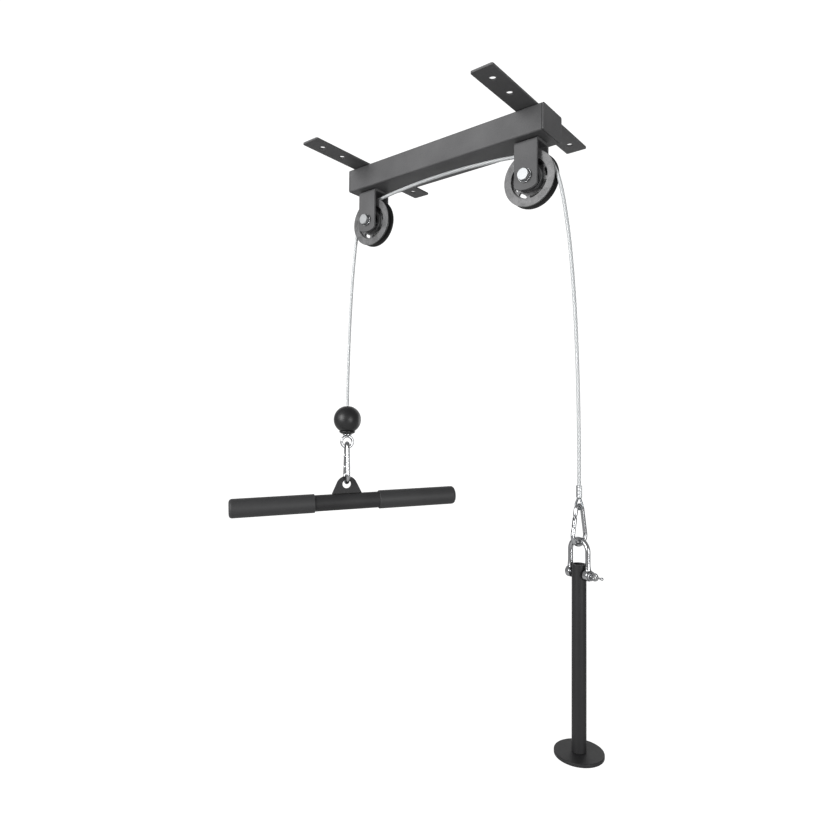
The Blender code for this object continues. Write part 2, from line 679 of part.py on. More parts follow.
def make_sleeve_and_loop(frame):
    count = 24
    wide, thick = SLEEVE_WIDE / 2, SLEEVE_THICK / 2
    ease = SLEEVE_EDGE
    bm = bmesh.new()
    rings = []
    for z, trim in ((0, ease), (-ease, 0), (-SLEEVE_LENGTH + ease, 0), (-SLEEVE_LENGTH, ease)):
        rings.append([bm.verts.new(((wide - trim) * cos(a), (thick - trim) * sin(a), z))
                      for a in [2 * pi * k / count for k in range(count)]])
    for a, b in zip(rings, rings[1:]):
        bridge(bm, a, b)
    bm.faces.new(rings[0])
    bm.faces.new(rings[-1])
    sleeve = add_object("crimp_sleeve", bm, "bright_zinc", frame)
    bore = CABLE_RADIUS + PIN_GAP
    hole = turned([(0, -SLEEVE_BORE_DEPTH), (bore, -SLEEVE_BORE_DEPTH), (bore, 0.002), (0, 0.002)], SMALL)
    cut(sleeve, add_object("sleeve_bore_cutter", hole, None, frame))
    height = LOOP_WIRE + 2 * PIN_GAP
    legs = prism(rounded_rectangle(LOOP_WIRE + 2 * SEAT_GAP + height, height, height * 0.49),
                 -SLEEVE_LENGTH - 0.001, -SLEEVE_LENGTH * 0.6, "Z")
    make_loop(frame, sleeve, legs)


def make_loop(frame, sleeve, legs):
    # The strands leave the sleeve side by side and part round a teardrop.
    start = LOOP_WIRE / 2 + SEAT_GAP
    radius = (LOOP_WIDTH - LOOP_WIRE) / 2
    centre = -loop_levels() + radius
    lowest = 1.5 * pi
    turn = arc((0, centre), radius, lowest - LOOP_SWELL / 2, lowest + LOOP_SWELL / 2, 7)
    down = [(start, -SLEEVE_LENGTH * share) for share in (0.62, 0.85, 1.02)]
    left = [(-x, z) for x, z in down]
    right = list(reversed(down))
    route = smooth_route([(x, 0, z) for x, z in left + turn + right], 0.0035)
    cut(sleeve, add_object("loop_leg_cutter", legs, None, frame))
    add_object("cable_loop", wire(route, LOOP_WIRE / 2, 8), "bright_zinc", frame)


# Snap hook: a pear of bent wire with a sprung gate in one leg

class SnapHook:
    # Sizes of one snap hook; w is across its plane, v is up, the gate is on the +w or -w side.
    def __init__(self, length, thickness, narrow, wide):
        self.wire = thickness
        self.r = thickness / 2
        self.top_radius = (narrow - thickness) / 2
        self.low_radius = (wide - thickness) / 2
        self.top = -self.r
        self.low = -length + self.r
        self.top_centre = self.top - self.top_radius
        self.low_centre = self.low + self.low_radius
        span = self.top_centre - self.low_centre
        self.lean = asin((self.low_radius - self.top_radius) / span)
        self.tongue = thickness * HOOK_TONGUE
        self.rivet = thickness * HOOK_RIVET / 2
        self.knuckle = self.r * HOOK_KNUCKLE
        self.nose = self.r * HOOK_NOSE

    def on_leg(self, sign, share):
        # A point down a leg, from 0 at the narrow end to 1 at the wide end.
        a, s = self.lean, sign
        start = (s * self.top_radius * cos(a), self.top_centre + self.top_radius * sin(a))
        end = (s * self.low_radius * cos(a), self.low_centre + self.low_radius * sin(a))
        return (start[0] + (end[0] - start[0]) * share, start[1] + (end[1] - start[1]) * share)

    def gate_points(self):
        # The ends of the gate's opening, the rivet's place and the direction down the leg.
        upper = Vector((0, *self.on_leg(-1, HOOK_GATE_TOP)))
        lower = Vector((0, *self.on_leg(-1, 1 - HOOK_GATE_BOTTOM)))
        down = (lower - upper).normalized()
        return upper, lower, upper + down * (self.r + GATE_KNUCKLE_GAP), down

    def body_route(self):
        a = self.lean
        over = arc((0, self.top_centre), self.top_radius, pi - a, a, 7)
        under = arc((0, self.low_centre), self.low_radius, a, -pi - a, 10)
        spine = [self.on_leg(1, 0.5)]
        return [self.on_leg(-1, HOOK_GATE_TOP)] + over + spine + under + [self.on_leg(-1, 1 - HOOK_GATE_BOTTOM)]


def make_snap_hook(prefix, hook, frame, gate_frame, gate_turn):
    # The wire body, the rivet and the gate, drawn with the gate on -Y and then turned.
    r = hook.r
    turn = (0, 0, gate_turn)
    route = [(0, w, v) for w, v in hook.body_route()]
    body = add_object(prefix + "_hook", wire(route, r, WIRE_SIDES), "bright_zinc", frame, rotation=turn)
    upper, lower, pivot, down = hook.gate_points()
    tongues = bmesh.new()
    blade(tongues, upper - down * r * 0.5, pivot, hook.tongue, hook.knuckle, round_end=True)
    nose_top = lower - down * (GATE_NOSE_GAP + hook.nose)
    blade(tongues, lower + down * r * 0.5, nose_top, hook.tongue, hook.knuckle)
    cut(body, add_object(prefix + "_tongue_cutter", tongues, None, frame, rotation=turn), "UNION")
    at_pivot = Matrix.Rotation(gate_turn, 3, "Z") @ pivot
    bore = cylinder(hook.rivet + PIN_GAP, 2 * r, 12)
    cut(body, add_object(prefix + "_rivet_hole_cutter", bore, None, frame, at_pivot, turn))
    pin = cylinder(hook.rivet, r * 0.98, 12)
    add_object(prefix + "_hook_rivet", pin, "bright_zinc", frame, at_pivot, turn)
    make_gate(prefix, hook, gate_frame)


def cylinder(radius, half, count, axis="X"):
    return turned([(0, -half), (radius, -half), (radius, half), (0, half)], count, axis)


def blade(bm, start, end, thickness, half_width, round_end=False):
    # A flat bar in the hook's plane between two points; a round end goes half a turn about its point.
    along = (end - start).normalized()
    across = along.cross(Vector((1, 0, 0)))
    outline = [start - across * half_width, start + across * half_width]
    if round_end:
        outline += [end + across * half_width * cos(a) + along * half_width * sin(a)
                    for a in [pi * k / 6 for k in range(7)]]
    else:
        outline += [end + across * half_width, end - across * half_width]
    ends = [[bm.verts.new(p + Vector((x * thickness / 2, 0, 0))) for p in outline] for x in (-1, 1)]
    bm.faces.new(ends[0])
    bm.faces.new(ends[1])
    bridge(bm, ends[0], ends[1])


def make_gate(prefix, hook, gate_frame):
    # The gate's frame stands on the rivet; its knuckle is round about it, so it turns in place.
    r = hook.r
    upper, lower, pivot, down = hook.gate_points()
    last = lower - down * GATE_NOSE_GAP - pivot
    angles = [radians(a) for a in (70, 45, 20)]
    points = [-down * r * sin(a) for a in angles] + [Vector((0, 0, 0)), last * 0.5, last]
    radii = [r * cos(a) for a in angles] + [r, r, r]
    gate = add_object(prefix + "_hook_gate", wire(points, radii, WIRE_SIDES), "bright_zinc", gate_frame)
    slots = bmesh.new()
    slot = hook.tongue + 2 * PIN_GAP
    blade(slots, -down * 2 * r, down * (hook.knuckle + 2 * PIN_GAP), slot, 1.3 * r)
    blade(slots, last + down * r, last - down * (hook.nose + 2 * PIN_GAP), slot, 1.3 * r)
    cut(gate, add_object(prefix + "_gate_slot_cutter", slots, None, gate_frame))
    bore = cylinder(hook.rivet + PIN_GAP, 2 * r, 12)
    cut(gate, add_object(prefix + "_gate_hole_cutter", bore, None, gate_frame))


# Bar handle: tube, welded lug and two rubber grips

def make_bar(frame, hole_z):
    top_z = hole_z - LUG_TOP_BELOW_HOLE
    axis_z = top_z + LUG_TOP_RADIUS - LUG_HEIGHT - BAR_DIAMETER / 2
    radius = BAR_DIAMETER / 2
    half = BAR_LENGTH / 2
    tube = turned(tube_ring(radius - BAR_WALL, radius, -half, half), ROUND, "X")
    add_object("bar_tube", tube, "powder_coat", frame, (0, 0, axis_z))
    foot = axis_z + radius + SEAT_GAP
    top, base = LUG_TOP_RADIUS, LUG_BASE / 2
    drop = top_z - foot
    reach = hypot(base, drop)
    # The straight sides touch the round top where the radius stands square to them.
    angle = atan2(-drop, base) + acos(top / reach)
    outline = arc((0, top_z), top, angle, pi - angle, 12) + [(-base, foot), (base, foot)]
    lug = add_object("bar_lug", prism(outline, -LUG_THICKNESS / 2, LUG_THICKNESS / 2, "Y"), "powder_coat", frame)
    hole = turned([(0, -0.01), (LUG_HOLE / 2, -0.01), (LUG_HOLE / 2, 0.01), (0, 0.01)], 24, "Y")
    cut(lug, add_object("lug_hole_cutter", hole, None, frame, (0, 0, hole_z)))
    for side, sign in (("left", -1), ("right", 1)):
        make_grip(side, sign, frame, axis_z)


def make_grip(side, sign, frame, axis_z):
    outer, inner = GRIP_DIAMETER / 2, BAR_DIAMETER / 2 + SEAT_GAP
    end = BAR_LENGTH / 2 + SEAT_GAP + GRIP_END_WALL
    start = end - GRIP_LENGTH
    profile = [(inner, start), (outer - GRIP_EDGE, start), (outer, start + GRIP_EDGE)]
    profile += arc((outer - GRIP_END_RADIUS, end - GRIP_END_RADIUS), GRIP_END_RADIUS, 0, pi / 2, 4)
    profile += [(0, end), (0, end - GRIP_END_WALL), (inner, end - GRIP_END_WALL)]
    grip = turned([(r, sign * x) for r, x in profile], 24, "X")
    add_object(side + "_grip", grip, "rubber", frame, (0, 0, axis_z))


# Shackle: bow, ears and screw pin

def make_shackle(frame, bow_z):
    # bow_z is the wire centre at the top of the bow.
    r = SHACKLE_WIRE / 2
    leg = SHACKLE_GAP / 2 + EAR_THICKNESS / 2
    pin_z = bow_z - SHACKLE_HEIGHT
    centre = bow_z - leg
    over = arc((0, centre), leg, 0, pi, 10)
    route = [(leg, pin_z + EAR_RADIUS * 0.6), (leg, (pin_z + centre) / 2)] + over
    route += [(-leg, (pin_z + centre) / 2), (-leg, pin_z + EAR_RADIUS * 0.6)]
    bow = add_object("shackle_bow", wire([(x, 0, z) for x, z in route], r, WIRE_SIDES), "bright_zinc", frame)
    ears = bmesh.new()
    for sign in (-1, 1):
        low, high = sorted((sign * SHACKLE_GAP / 2, sign * (SHACKLE_GAP / 2 + EAR_THICKNESS)))
        c = 0.001
        turned([(0, low), (EAR_RADIUS - c, low), (EAR_RADIUS, low + c), (EAR_RADIUS, high - c),
                (EAR_RADIUS - c, high), (0, high)], SMALL, "X", ears)
    bmesh.ops.translate(ears, verts=ears.verts, vec=(0, 0, pin_z))
    cut(bow, add_object("shackle_ear_cutter", ears, None, frame), "UNION")
    hole = SHACKLE_PIN / 2 + PIN_GAP
    bore = turned([(0, -0.03), (hole, -0.03), (hole, 0.03), (0, 0.03)], SMALL, "X")
    cut(bow, add_object("shackle_bore_cutter", bore, None, frame, (0, 0, pin_z)))
    make_shackle_pin(frame, pin_z)
    return pin_z


def make_shackle_pin(frame, pin_z):
    r = SHACKLE_PIN / 2
    face = SHACKLE_GAP / 2 + EAR_THICKNESS + SEAT_GAP
    tip = -face - PIN_TIP_PAST_EAR
    collar = face + PIN_COLLAR_THICKNESS
    tab = collar + PIN_TAB_RADIUS
    end = tab + PIN_TAB_RADIUS + PIN_TAIL_LENGTH
    tail, knob = PIN_TAIL_DIAMETER / 2, PIN_TAIL_KNOB / 2
    profile = [(0, tip), (r - PIN_EDGE, tip), (r, tip + PIN_EDGE), (r, face), (PIN_COLLAR_RADIUS, face),
               (PIN_COLLAR_RADIUS, collar - 0.0006), (PIN_COLLAR_RADIUS - 0.0006, collar), (tail * 1.6, collar),
               (tail * 1.6, collar + 0.002), (0, collar + 0.002)]
    pin = add_object("shackle_pin", turned(profile, SMALL, "X"), "bright_zinc", frame, (0, 0, pin_z))
    circle = arc((tab - 0.0006, 0), PIN_TAB_RADIUS, 0, 2 * pi * 19 / 20, 19)
    disc = prism(circle, -PIN_TAB_THICKNESS / 2, PIN_TAB_THICKNESS / 2, "Y")
    cut(pin, add_object("pin_tab_cutter", disc, None, frame, (0, 0, pin_z)), "UNION")
    start = tab + PIN_TAB_RADIUS * 0.8
    stem = turned([(0, start), (tail, start), (tail, end - knob * 1.6)]
                  + [(max(tail, knob * sin(a)) if a < pi / 2 else knob * sin(a), end - knob - knob * cos(a))
                     for a in (radians(50), radians(80), radians(110), radians(145))]
                  + [(0, end)], 12, "X")
    cut(pin, add_object("pin_tail_cutter", stem, None, frame, (0, 0, pin_z)), "UNION")
    hole = turned([(0, -0.01), (PIN_TAB_HOLE / 2, -0.01), (PIN_TAB_HOLE / 2, 0.01), (0, 0.01)], 14, "Y")
    cut(pin, add_object("pin_tab_hole_cutter", hole, None, frame, (tab, 0, pin_z)))


# Loading pin: cross-drilled tube on a round disc

def make_loading_pin(frame):
    # The frame stands on the shackle pin's axis.
    radius = PIN_TUBE_DIAMETER / 2
    top = PIN_HOLE_BELOW_TOP
    low = top - PIN_TUBE_LENGTH
    tube = add_object("loading_pin_tube", turned(tube_ring(radius - PIN_TUBE_WALL, radius, low, top), ROUND),
                      "powder_coat", frame)
    hole = SHACKLE_PIN / 2 + PIN_GAP * 2
    bore = turned([(0, -0.03), (hole, -0.03), (hole, 0.03), (0, 0.03)], SMALL, "X")
    cut(tube, add_object("pin_cross_hole_cutter", bore, None, frame))
    top_face = low - SEAT_GAP
    foot = top_face - DISC_THICKNESS
    edge = DISC_EDGE
    half = DISC_DIAMETER / 2
    disc = turned([(0, foot), (half - edge, foot), (half, foot + edge), (half, top_face - edge),
                   (half - edge, top_face), (0, top_face)], WHEEL_SIDES)
    add_object("loading_disc", disc, "powder_coat", frame)


# Putting the pieces in their moving frames

def build():
    clear_scene()
    root = empty("ceiling_frame", (0, 0, 0))
    make_beam(root)
    for side, sign in (("left", -1), ("right", 1)):
        make_strap(side, sign, root)
        axle = (sign * BRACKET_X, 0, AXLE_Z)
        bracket_frame = empty(side + "_bracket_frame", axle, 0, root)
        make_bracket(side, bracket_frame)
        make_axle(side, bracket_frame)
        wheel_frame = empty(side + "_wheel_frame", axle, 0, root)
        make_wheel(side, wheel_frame)
        make_bearing(side, bracket_frame, wheel_frame)
    make_cable()

    handle_line = empty("handle_line_frame", (HANDLE_X, 0, BALL_CENTRE_Z), HANDLE_YAW, root)
    make_ball(handle_line)
    make_eye(handle_line)
    hook = SnapHook(HANDLE_HOOK_LENGTH, HANDLE_HOOK_WIRE, HANDLE_HOOK_NARROW, HANDLE_HOOK_WIDE)
    eye_low = eye_levels()[3]
    hook_top = eye_low + EYE_WIRE / 2 + LINK_GAP + hook.wire
    hang_hook("handle", hook, handle_line, eye_low, hook_top, pi)
    wire_low = hook_top + hook.low
    bar_frame = empty("bar_frame", (0, 0, wire_low), 0, handle_line)
    bar_frame.rotation_euler.y = -BAR_REST_TILT
    make_bar(bar_frame, hook.r + LINK_GAP - LUG_HOLE / 2)

    weight_line = empty("weight_line_frame", (WEIGHT_X, 0, SLEEVE_TOP_Z), WEIGHT_YAW, root)
    make_sleeve_and_loop(weight_line)
    hook = SnapHook(WEIGHT_HOOK_LENGTH, WEIGHT_HOOK_WIRE, WEIGHT_HOOK_NARROW, WEIGHT_HOOK_WIDE)
    loop_low = -loop_levels()
    hook_top = loop_low + LOOP_WIRE / 2 + LINK_GAP + hook.wire
    hang_hook("weight", hook, weight_line, loop_low, hook_top, 0)
    wire_low = hook_top + hook.low
    shackle_frame = empty("shackle_frame", (0, 0, wire_low), 0, weight_line)
    bow_z = hook.r + LINK_GAP + SHACKLE_WIRE / 2
    pin_z = make_shackle(shackle_frame, bow_z)
    pin_frame = empty("loading_pin_frame", (0, 0, pin_z), 0, shackle_frame)
    make_loading_pin(pin_frame)
    bpy.context.view_layer.update()
    for frame in [o for o in bpy.data.objects if o.type == "EMPTY"]:
        where = frame.matrix_world.translation
        print(f"{frame.name}: {where.x:.6f} {where.y:.6f} {where.z:.6f}")


def hang_hook(prefix, hook, line, contact_z, hook_top, gate_turn):
    # The hook's frame stands on the wire it hangs from, and the gate's frame on the rivet.
    frame = empty(prefix + "_hook_frame", (0, 0, contact_z), 0, line)
    drawing = empty(prefix + "_hook_drawing", (0, 0, hook_top - contact_z), 0, frame)
    pivot = Matrix.Rotation(gate_turn, 3, "Z") @ hook.gate_points()[2]
    gate_frame = empty(prefix + "_gate_frame", pivot, gate_turn, drawing)
    make_snap_hook(prefix, hook, drawing, gate_frame, gate_turn)


build()
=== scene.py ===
# %% [markdown]
# A ceiling-mounted pulley system, as seen in a studio photograph: a short steel beam on two ceiling
# straps, with a cable pulley under each end. The coated cable carries a bar handle on one side and a
# loading pin for weight plates on the other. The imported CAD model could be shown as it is, but its
# rounds have few facets. So it is loaded as a fixed frame, and each piece is made again in its place.

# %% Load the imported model
import json
from math import acos, asin, atan2, cos, hypot, pi, radians, sin, sqrt

import bmesh
import bpy
from mathutils import Matrix, Vector

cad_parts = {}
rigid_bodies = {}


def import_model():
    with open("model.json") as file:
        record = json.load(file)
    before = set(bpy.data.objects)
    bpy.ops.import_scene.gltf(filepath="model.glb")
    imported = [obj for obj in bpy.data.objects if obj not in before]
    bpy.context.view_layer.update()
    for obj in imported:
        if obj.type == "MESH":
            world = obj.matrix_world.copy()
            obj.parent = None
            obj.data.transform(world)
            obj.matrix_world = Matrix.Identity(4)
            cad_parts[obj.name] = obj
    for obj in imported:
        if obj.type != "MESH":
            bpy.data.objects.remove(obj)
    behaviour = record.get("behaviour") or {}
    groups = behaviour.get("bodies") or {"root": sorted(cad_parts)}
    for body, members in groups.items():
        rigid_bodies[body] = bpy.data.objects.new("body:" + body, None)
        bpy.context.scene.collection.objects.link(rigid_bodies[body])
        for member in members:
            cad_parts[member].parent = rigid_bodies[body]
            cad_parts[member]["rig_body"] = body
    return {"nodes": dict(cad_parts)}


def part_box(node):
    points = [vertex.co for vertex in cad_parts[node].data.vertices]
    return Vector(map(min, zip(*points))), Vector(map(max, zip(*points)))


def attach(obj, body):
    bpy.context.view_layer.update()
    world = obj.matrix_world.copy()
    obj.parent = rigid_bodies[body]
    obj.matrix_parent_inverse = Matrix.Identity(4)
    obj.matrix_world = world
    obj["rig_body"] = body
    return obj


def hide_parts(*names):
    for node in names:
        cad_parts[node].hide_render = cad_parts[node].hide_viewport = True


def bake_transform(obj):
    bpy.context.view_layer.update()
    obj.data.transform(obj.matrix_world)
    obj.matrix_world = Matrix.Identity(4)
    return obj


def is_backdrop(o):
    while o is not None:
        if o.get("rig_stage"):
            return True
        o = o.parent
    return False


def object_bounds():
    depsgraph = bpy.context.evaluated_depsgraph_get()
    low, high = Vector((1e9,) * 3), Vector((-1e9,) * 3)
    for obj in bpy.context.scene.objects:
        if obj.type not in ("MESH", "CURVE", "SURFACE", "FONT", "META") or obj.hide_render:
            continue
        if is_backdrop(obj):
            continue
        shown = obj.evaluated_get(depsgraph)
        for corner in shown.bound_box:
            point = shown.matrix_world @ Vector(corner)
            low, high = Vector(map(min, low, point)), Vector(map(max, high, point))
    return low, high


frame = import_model()
cad_box = [[float(x) for x in corner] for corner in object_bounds()]
MM = 0.001

# %% [markdown]
# The camera stands low in front of the beam's right half and looks a little upwards, with a wide lens.
# It could be aimed at a target. Here its axes come from yaw, pitch and roll, which were measured from
# the picture's own straight edges.

# %% Camera
YAW, PITCH, ROLL = radians(38.66), radians(1.82), radians(0.51)
level = Vector((-sin(YAW), cos(YAW), 0))
ahead = level * cos(PITCH) + Vector((0, 0, sin(PITCH)))
above = Vector((0, 0, cos(PITCH))) - level * sin(PITCH)
aside = Vector((cos(YAW), sin(YAW), 0))
across = aside * cos(ROLL) + above * sin(ROLL)
upright = above * cos(ROLL) - aside * sin(ROLL)
CAMERA_AT = Vector((0.5834, -0.8018, -0.4663))
lens = bpy.data.cameras.new("camera")
lens.lens, lens.sensor_width = 26.07, 36.0
lens.shift_x, lens.shift_y = 0.0006, -0.0130
camera = bpy.data.objects.new("camera", lens)
bpy.context.scene.collection.objects.link(camera)
turn = Matrix((across, upright, -ahead)).transposed().to_4x4()
camera.matrix_world = Matrix.Translation(CAMERA_AT) @ turn
bpy.context.scene.camera = camera
print("camera at", [round(x, 3) for x in camera.matrix_world.translation])

# %% [markdown]
# Every colour is a hex value as a paint chart gives it. Blender's sockets take linear light, so one
# function turns the one into the other. Shader trees are long when each node takes four lines, and a
# class for each kind would hide what it is, so one function adds any node.

# %% Colours, nodes and meshes
def linear_light(code):
    parts = [int(code[i:i + 2], 16) / 255 for i in (1, 3, 5)]
    return [c / 12.92 if c <= 0.04045 else ((c + 0.055) / 1.055) ** 2.4 for c in parts] + [1.0]


def add_node(tree, kind, values=None, links=None, **settings):
    node = tree.nodes.new(kind)
    for name, value in settings.items():
        setattr(node, name, value)
    for socket, value in (values or {}).items():
        node.inputs[socket].default_value = value
    for socket, source in (links or {}).items():
        tree.links.new(source, node.inputs[socket])
    return node


def new_finish(name, **sockets):
    # An empty Principled material; the sockets that are the same all over the surface are set here.
    finish = bpy.data.materials.new(name)
    finish.use_nodes = True
    shader = finish.node_tree.nodes["Principled BSDF"]
    for socket, value in sockets.items():
        shader.inputs[socket.replace("_", " ")].default_value = value
    return finish, finish.node_tree, shader


def new_object(name, bm, finish):
    mesh = bpy.data.meshes.new(name)
    bm.to_mesh(mesh)
    bm.free()
    mesh.materials.append(finish)
    made = bpy.data.objects.new(name, mesh)
    bpy.context.scene.collection.objects.link(made)
    return made


print("white in linear light:", linear_light("#ffffff")[:3])

# %% [markdown]
# The picture was taken before a white sheet, under two soft lamps: a strong one to the left of the
# camera, full on the beam's front, and a weaker one low down to the right. The stopper ball mirrors
# both, and the places of the two spots gave the lamps' directions. A weak white board stands where
# bolt heads and wheel faces mirror it, and a lamp at the back shows the far side of a turned part.
# The room is dim, and the sheet only as wide as the frame, so each bright wire has darker sides.
# With more light on it the sheet would be white too, but it would light the metal from behind. Its
# white comes from Light Path instead: rays from the camera see sheet and floor as white, and mirror
# rays see the sheet as white and the floor at about half of that.

# %% Sheet, floor, room and lamps
ROOM_LIGHT, ROOM_MIRRORED = 0.18, 0.32
FLOOR_Z, BACKDROP_AWAY = -1.95, 4.2
AIM, LAMP_AWAY = Vector((0.0, 0.0, -0.42)), 2.6

room = bpy.data.worlds.new("studio_room")
bpy.context.scene.world = room
room.use_nodes = True
air = room.node_tree.nodes["Background"]
air.inputs["Color"].default_value = linear_light("#ffffff")
path = add_node(room.node_tree, "ShaderNodeLightPath")
mirrored = add_node(room.node_tree, "ShaderNodeMath", {1: ROOM_MIRRORED - ROOM_LIGHT, 2: ROOM_LIGHT},
                    {0: path.outputs["Is Glossy Ray"]}, operation="MULTIPLY_ADD")
strength = add_node(room.node_tree, "ShaderNodeMath", operation="MAXIMUM",
                    links={0: mirrored.outputs[0], 1: path.outputs["Is Camera Ray"]})
room.node_tree.links.new(strength.outputs[0], air.inputs["Strength"])


def white_paint(name, glow, mirrored):
    # The glow is added only for the rays that see the sheet, not for the rays that gather light.
    paint, tree, shader = new_finish(name, Roughness=0.8)
    shader.inputs["Base Color"].default_value = linear_light("#8c8c8c")
    shader.inputs["Emission Color"].default_value = linear_light("#ffffff")
    path = add_node(tree, "ShaderNodeLightPath")
    straight = add_node(tree, "ShaderNodeMath", operation="MAXIMUM",
                        links={0: path.outputs["Is Camera Ray"], 1: path.outputs["Is Transmission Ray"]})
    shine = add_node(tree, "ShaderNodeMath", {1: mirrored}, {0: path.outputs["Is Glossy Ray"]},
                     operation="MULTIPLY")
    strength = add_node(tree, "ShaderNodeMath", {1: glow},
                        {0: straight.outputs[0], 2: shine.outputs[0]}, operation="MULTIPLY_ADD")
    tree.links.new(strength.outputs[0], shader.inputs["Emission Strength"])
    return paint


def sheet(name, half_width, paint, placed):
    bm = bmesh.new()
    bmesh.ops.create_grid(bm, x_segments=8, y_segments=8, size=half_width)
    stage = new_object(name, bm, paint)
    stage.matrix_world = placed
    stage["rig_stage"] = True


facing = (-level).to_track_quat("Z", "Y").to_matrix().to_4x4()
sheet("studio_floor", 4.5, white_paint("pale_floor_paint", 0.96, 0.5), Matrix.Translation((0, 0, FLOOR_Z)))
sheet("studio_backdrop", 3.4, white_paint("white_backdrop_paint", 1.0, 1.0),
      Matrix.Translation(CAMERA_AT + level * BACKDROP_AWAY) @ facing)


def soft_lamp(name, direction, width, height, power):
    lamp = bpy.data.lights.new(name, "AREA")
    lamp.shape = "RECTANGLE"
    lamp.size, lamp.size_y = width, height
    lamp.energy = power
    holder = bpy.data.objects.new(name, lamp)
    holder.location = AIM + Vector(direction).normalized() * LAMP_AWAY
    holder.rotation_euler = (holder.location - AIM).to_track_quat("Z", "Y").to_euler()
    holder.visible_camera = False
    bpy.context.scene.collection.objects.link(holder)
    return holder


lamps = [soft_lamp("key_softbox", (-0.18, -0.95, 0.22), 0.8, 1.4, 58.0),
         soft_lamp("fill_softbox", (0.91, -0.36, -0.05), 0.6, 1.2, 26.0),
         soft_lamp("left_white_board", (-0.53, -0.78, 0.35), 1.4, 0.9, 5.5),
         soft_lamp("rear_softbox", (0.10, 0.98, -0.05), 1.4, 1.4, 12.0)]
bpy.context.scene.view_settings.view_transform = "Standard"
print("lamps:", ", ".join(f"{lamp.name} {lamp.data.energy:.1f} W" for lamp in lamps))

# %% [markdown]
# The steel of beam, straps and brackets is powder coated: dry resin, sprayed on and baked, which flows
# into a skin with a faint orange peel. The eye gets a satin charcoal with a broad, soft shine and no
# brush lines. The peel's wave, about 1.5 mm, is one pixel wide from here, so it is drawn at 2.2 mm.
# The handle is coated in black and the loading pin in a deeper black.

# %% Powder coat, charcoal and black
def own_place(tree):
    return add_node(tree, "ShaderNodeTexCoord").outputs["Object"]


def noise(tree, size, detail, place=None, **more):
    # size is the width of one cloud or grain on the piece.
    return add_node(tree, "ShaderNodeTexNoise", {"Scale": 1 / size, "Detail": detail, **more},
                    {"Vector": own_place(tree) if place is None else place}).outputs["Fac"]


def specked(tree, fine, weight, broad, low, high):
    # Fine specks on broad clouds; the sums from low to high are spread over 0 to 1.
    both = add_node(tree, "ShaderNodeMath", {1: weight}, {0: fine, 2: broad}, operation="MULTIPLY_ADD")
    return add_node(tree, "ShaderNodeMapRange", {"From Min": low, "From Max": high},
                    {"Value": both.outputs[0]}).outputs[0]


def mixed(tree, first, second, share):
    return add_node(tree, "ShaderNodeMix", {6: linear_light(first), 7: linear_light(second)},
                    {0: share}, data_type="RGBA").outputs[2]


def dress(tree, shader, tint, gloss, low, high, relief, strength, depth):
    # gloss moves the roughness from low to high, and relief is a bump of the given depth.
    rough = add_node(tree, "ShaderNodeMapRange", {"To Min": low, "To Max": high}, {"Value": gloss})
    skin = add_node(tree, "ShaderNodeBump", {"Strength": strength, "Distance": depth}, {"Height": relief})
    tree.links.new(tint, shader.inputs["Base Color"])
    tree.links.new(rough.outputs[0], shader.inputs["Roughness"])
    tree.links.new(skin.outputs[0], shader.inputs["Normal"])


def powder_coat(name, deep, pale, roughness):
    finish, tree, shader = new_finish(name, Specular_IOR_Level=0.3)
    share = specked(tree, noise(tree, 1.1 * MM, 1.0), 0.45, noise(tree, 70 * MM, 3.0), 0.45, 1.0)
    peel = noise(tree, 2.2 * MM, 2.0)
    dress(tree, shader, mixed(tree, deep, pale, share), peel, roughness - 0.07, roughness + 0.07,
          peel, 0.35, 0.10 * MM)
    return finish


CHARCOAL_COAT = powder_coat("charcoal_powder_coat", "#525253", "#686869", 0.56)
BLACK_COAT = powder_coat("black_powder_coat", "#202021", "#2c2c2d", 0.52)
HANDLE_COAT = powder_coat("handle_powder_coat", "#272728", "#353536", 0.56)
print("made", CHARCOAL_COAT.name, BLACK_COAT.name, "and", HANDLE_COAT.name)

# %% [markdown]
# Bolts, washers, hooks and shackle are steel with bright zinc plating. It is grown in a bath, so it
# keeps the faint die lines of the drawn steel, with a cool grey tone and a slightly cloudy gloss. The
# press leaves the ferrule satin, and the drum the bolts. Bearing rings are ground, hardened steel, and
# darker. All are metals, so the IOR stays and the colour does the work; a darker Specular Tint gives
# the dip that zinc and iron have at glancing angles.

# %% Bright zinc and ground bearing steel
def plated_metal(name, deep, pale, roughness, line_gap):
    finish, tree, shader = new_finish(name, Metallic=1.0)
    shader.inputs["Specular Tint"].default_value = linear_light("#8e9092")
    cloud = noise(tree, 14 * MM, 3.0)
    drawn = add_node(tree, "ShaderNodeMapping", {"Scale": (1.0, 1.0, 0.12)}, {"Vector": own_place(tree)})
    lines = noise(tree, line_gap, 2.0, drawn.outputs[0])
    dress(tree, shader, mixed(tree, deep, pale, cloud), cloud, roughness - 0.05, roughness + 0.05,
          lines, 0.04, 0.02 * MM)
    return finish


BRIGHT_ZINC = plated_metal("bright_zinc_plated_steel", "#a4a5a7", "#c0c1c2", 0.20, 1.2 * MM)
BEARING_STEEL = plated_metal("ground_bearing_steel", "#646567", "#7c7d7f", 0.26, 0.8 * MM)
PRESSED_ZINC = plated_metal("satin_zinc_plated_sleeve", "#b2b4b6", "#c8cacb", 0.42, 0.8 * MM)
BOLT_ZINC = plated_metal("satin_zinc_plated_bolt", "#989a9c", "#b4b6b7", 0.50, 0.9 * MM)
print("made", BRIGHT_ZINC.name, BEARING_STEEL.name, PRESSED_ZINC.name, "and", BOLT_ZINC.name)
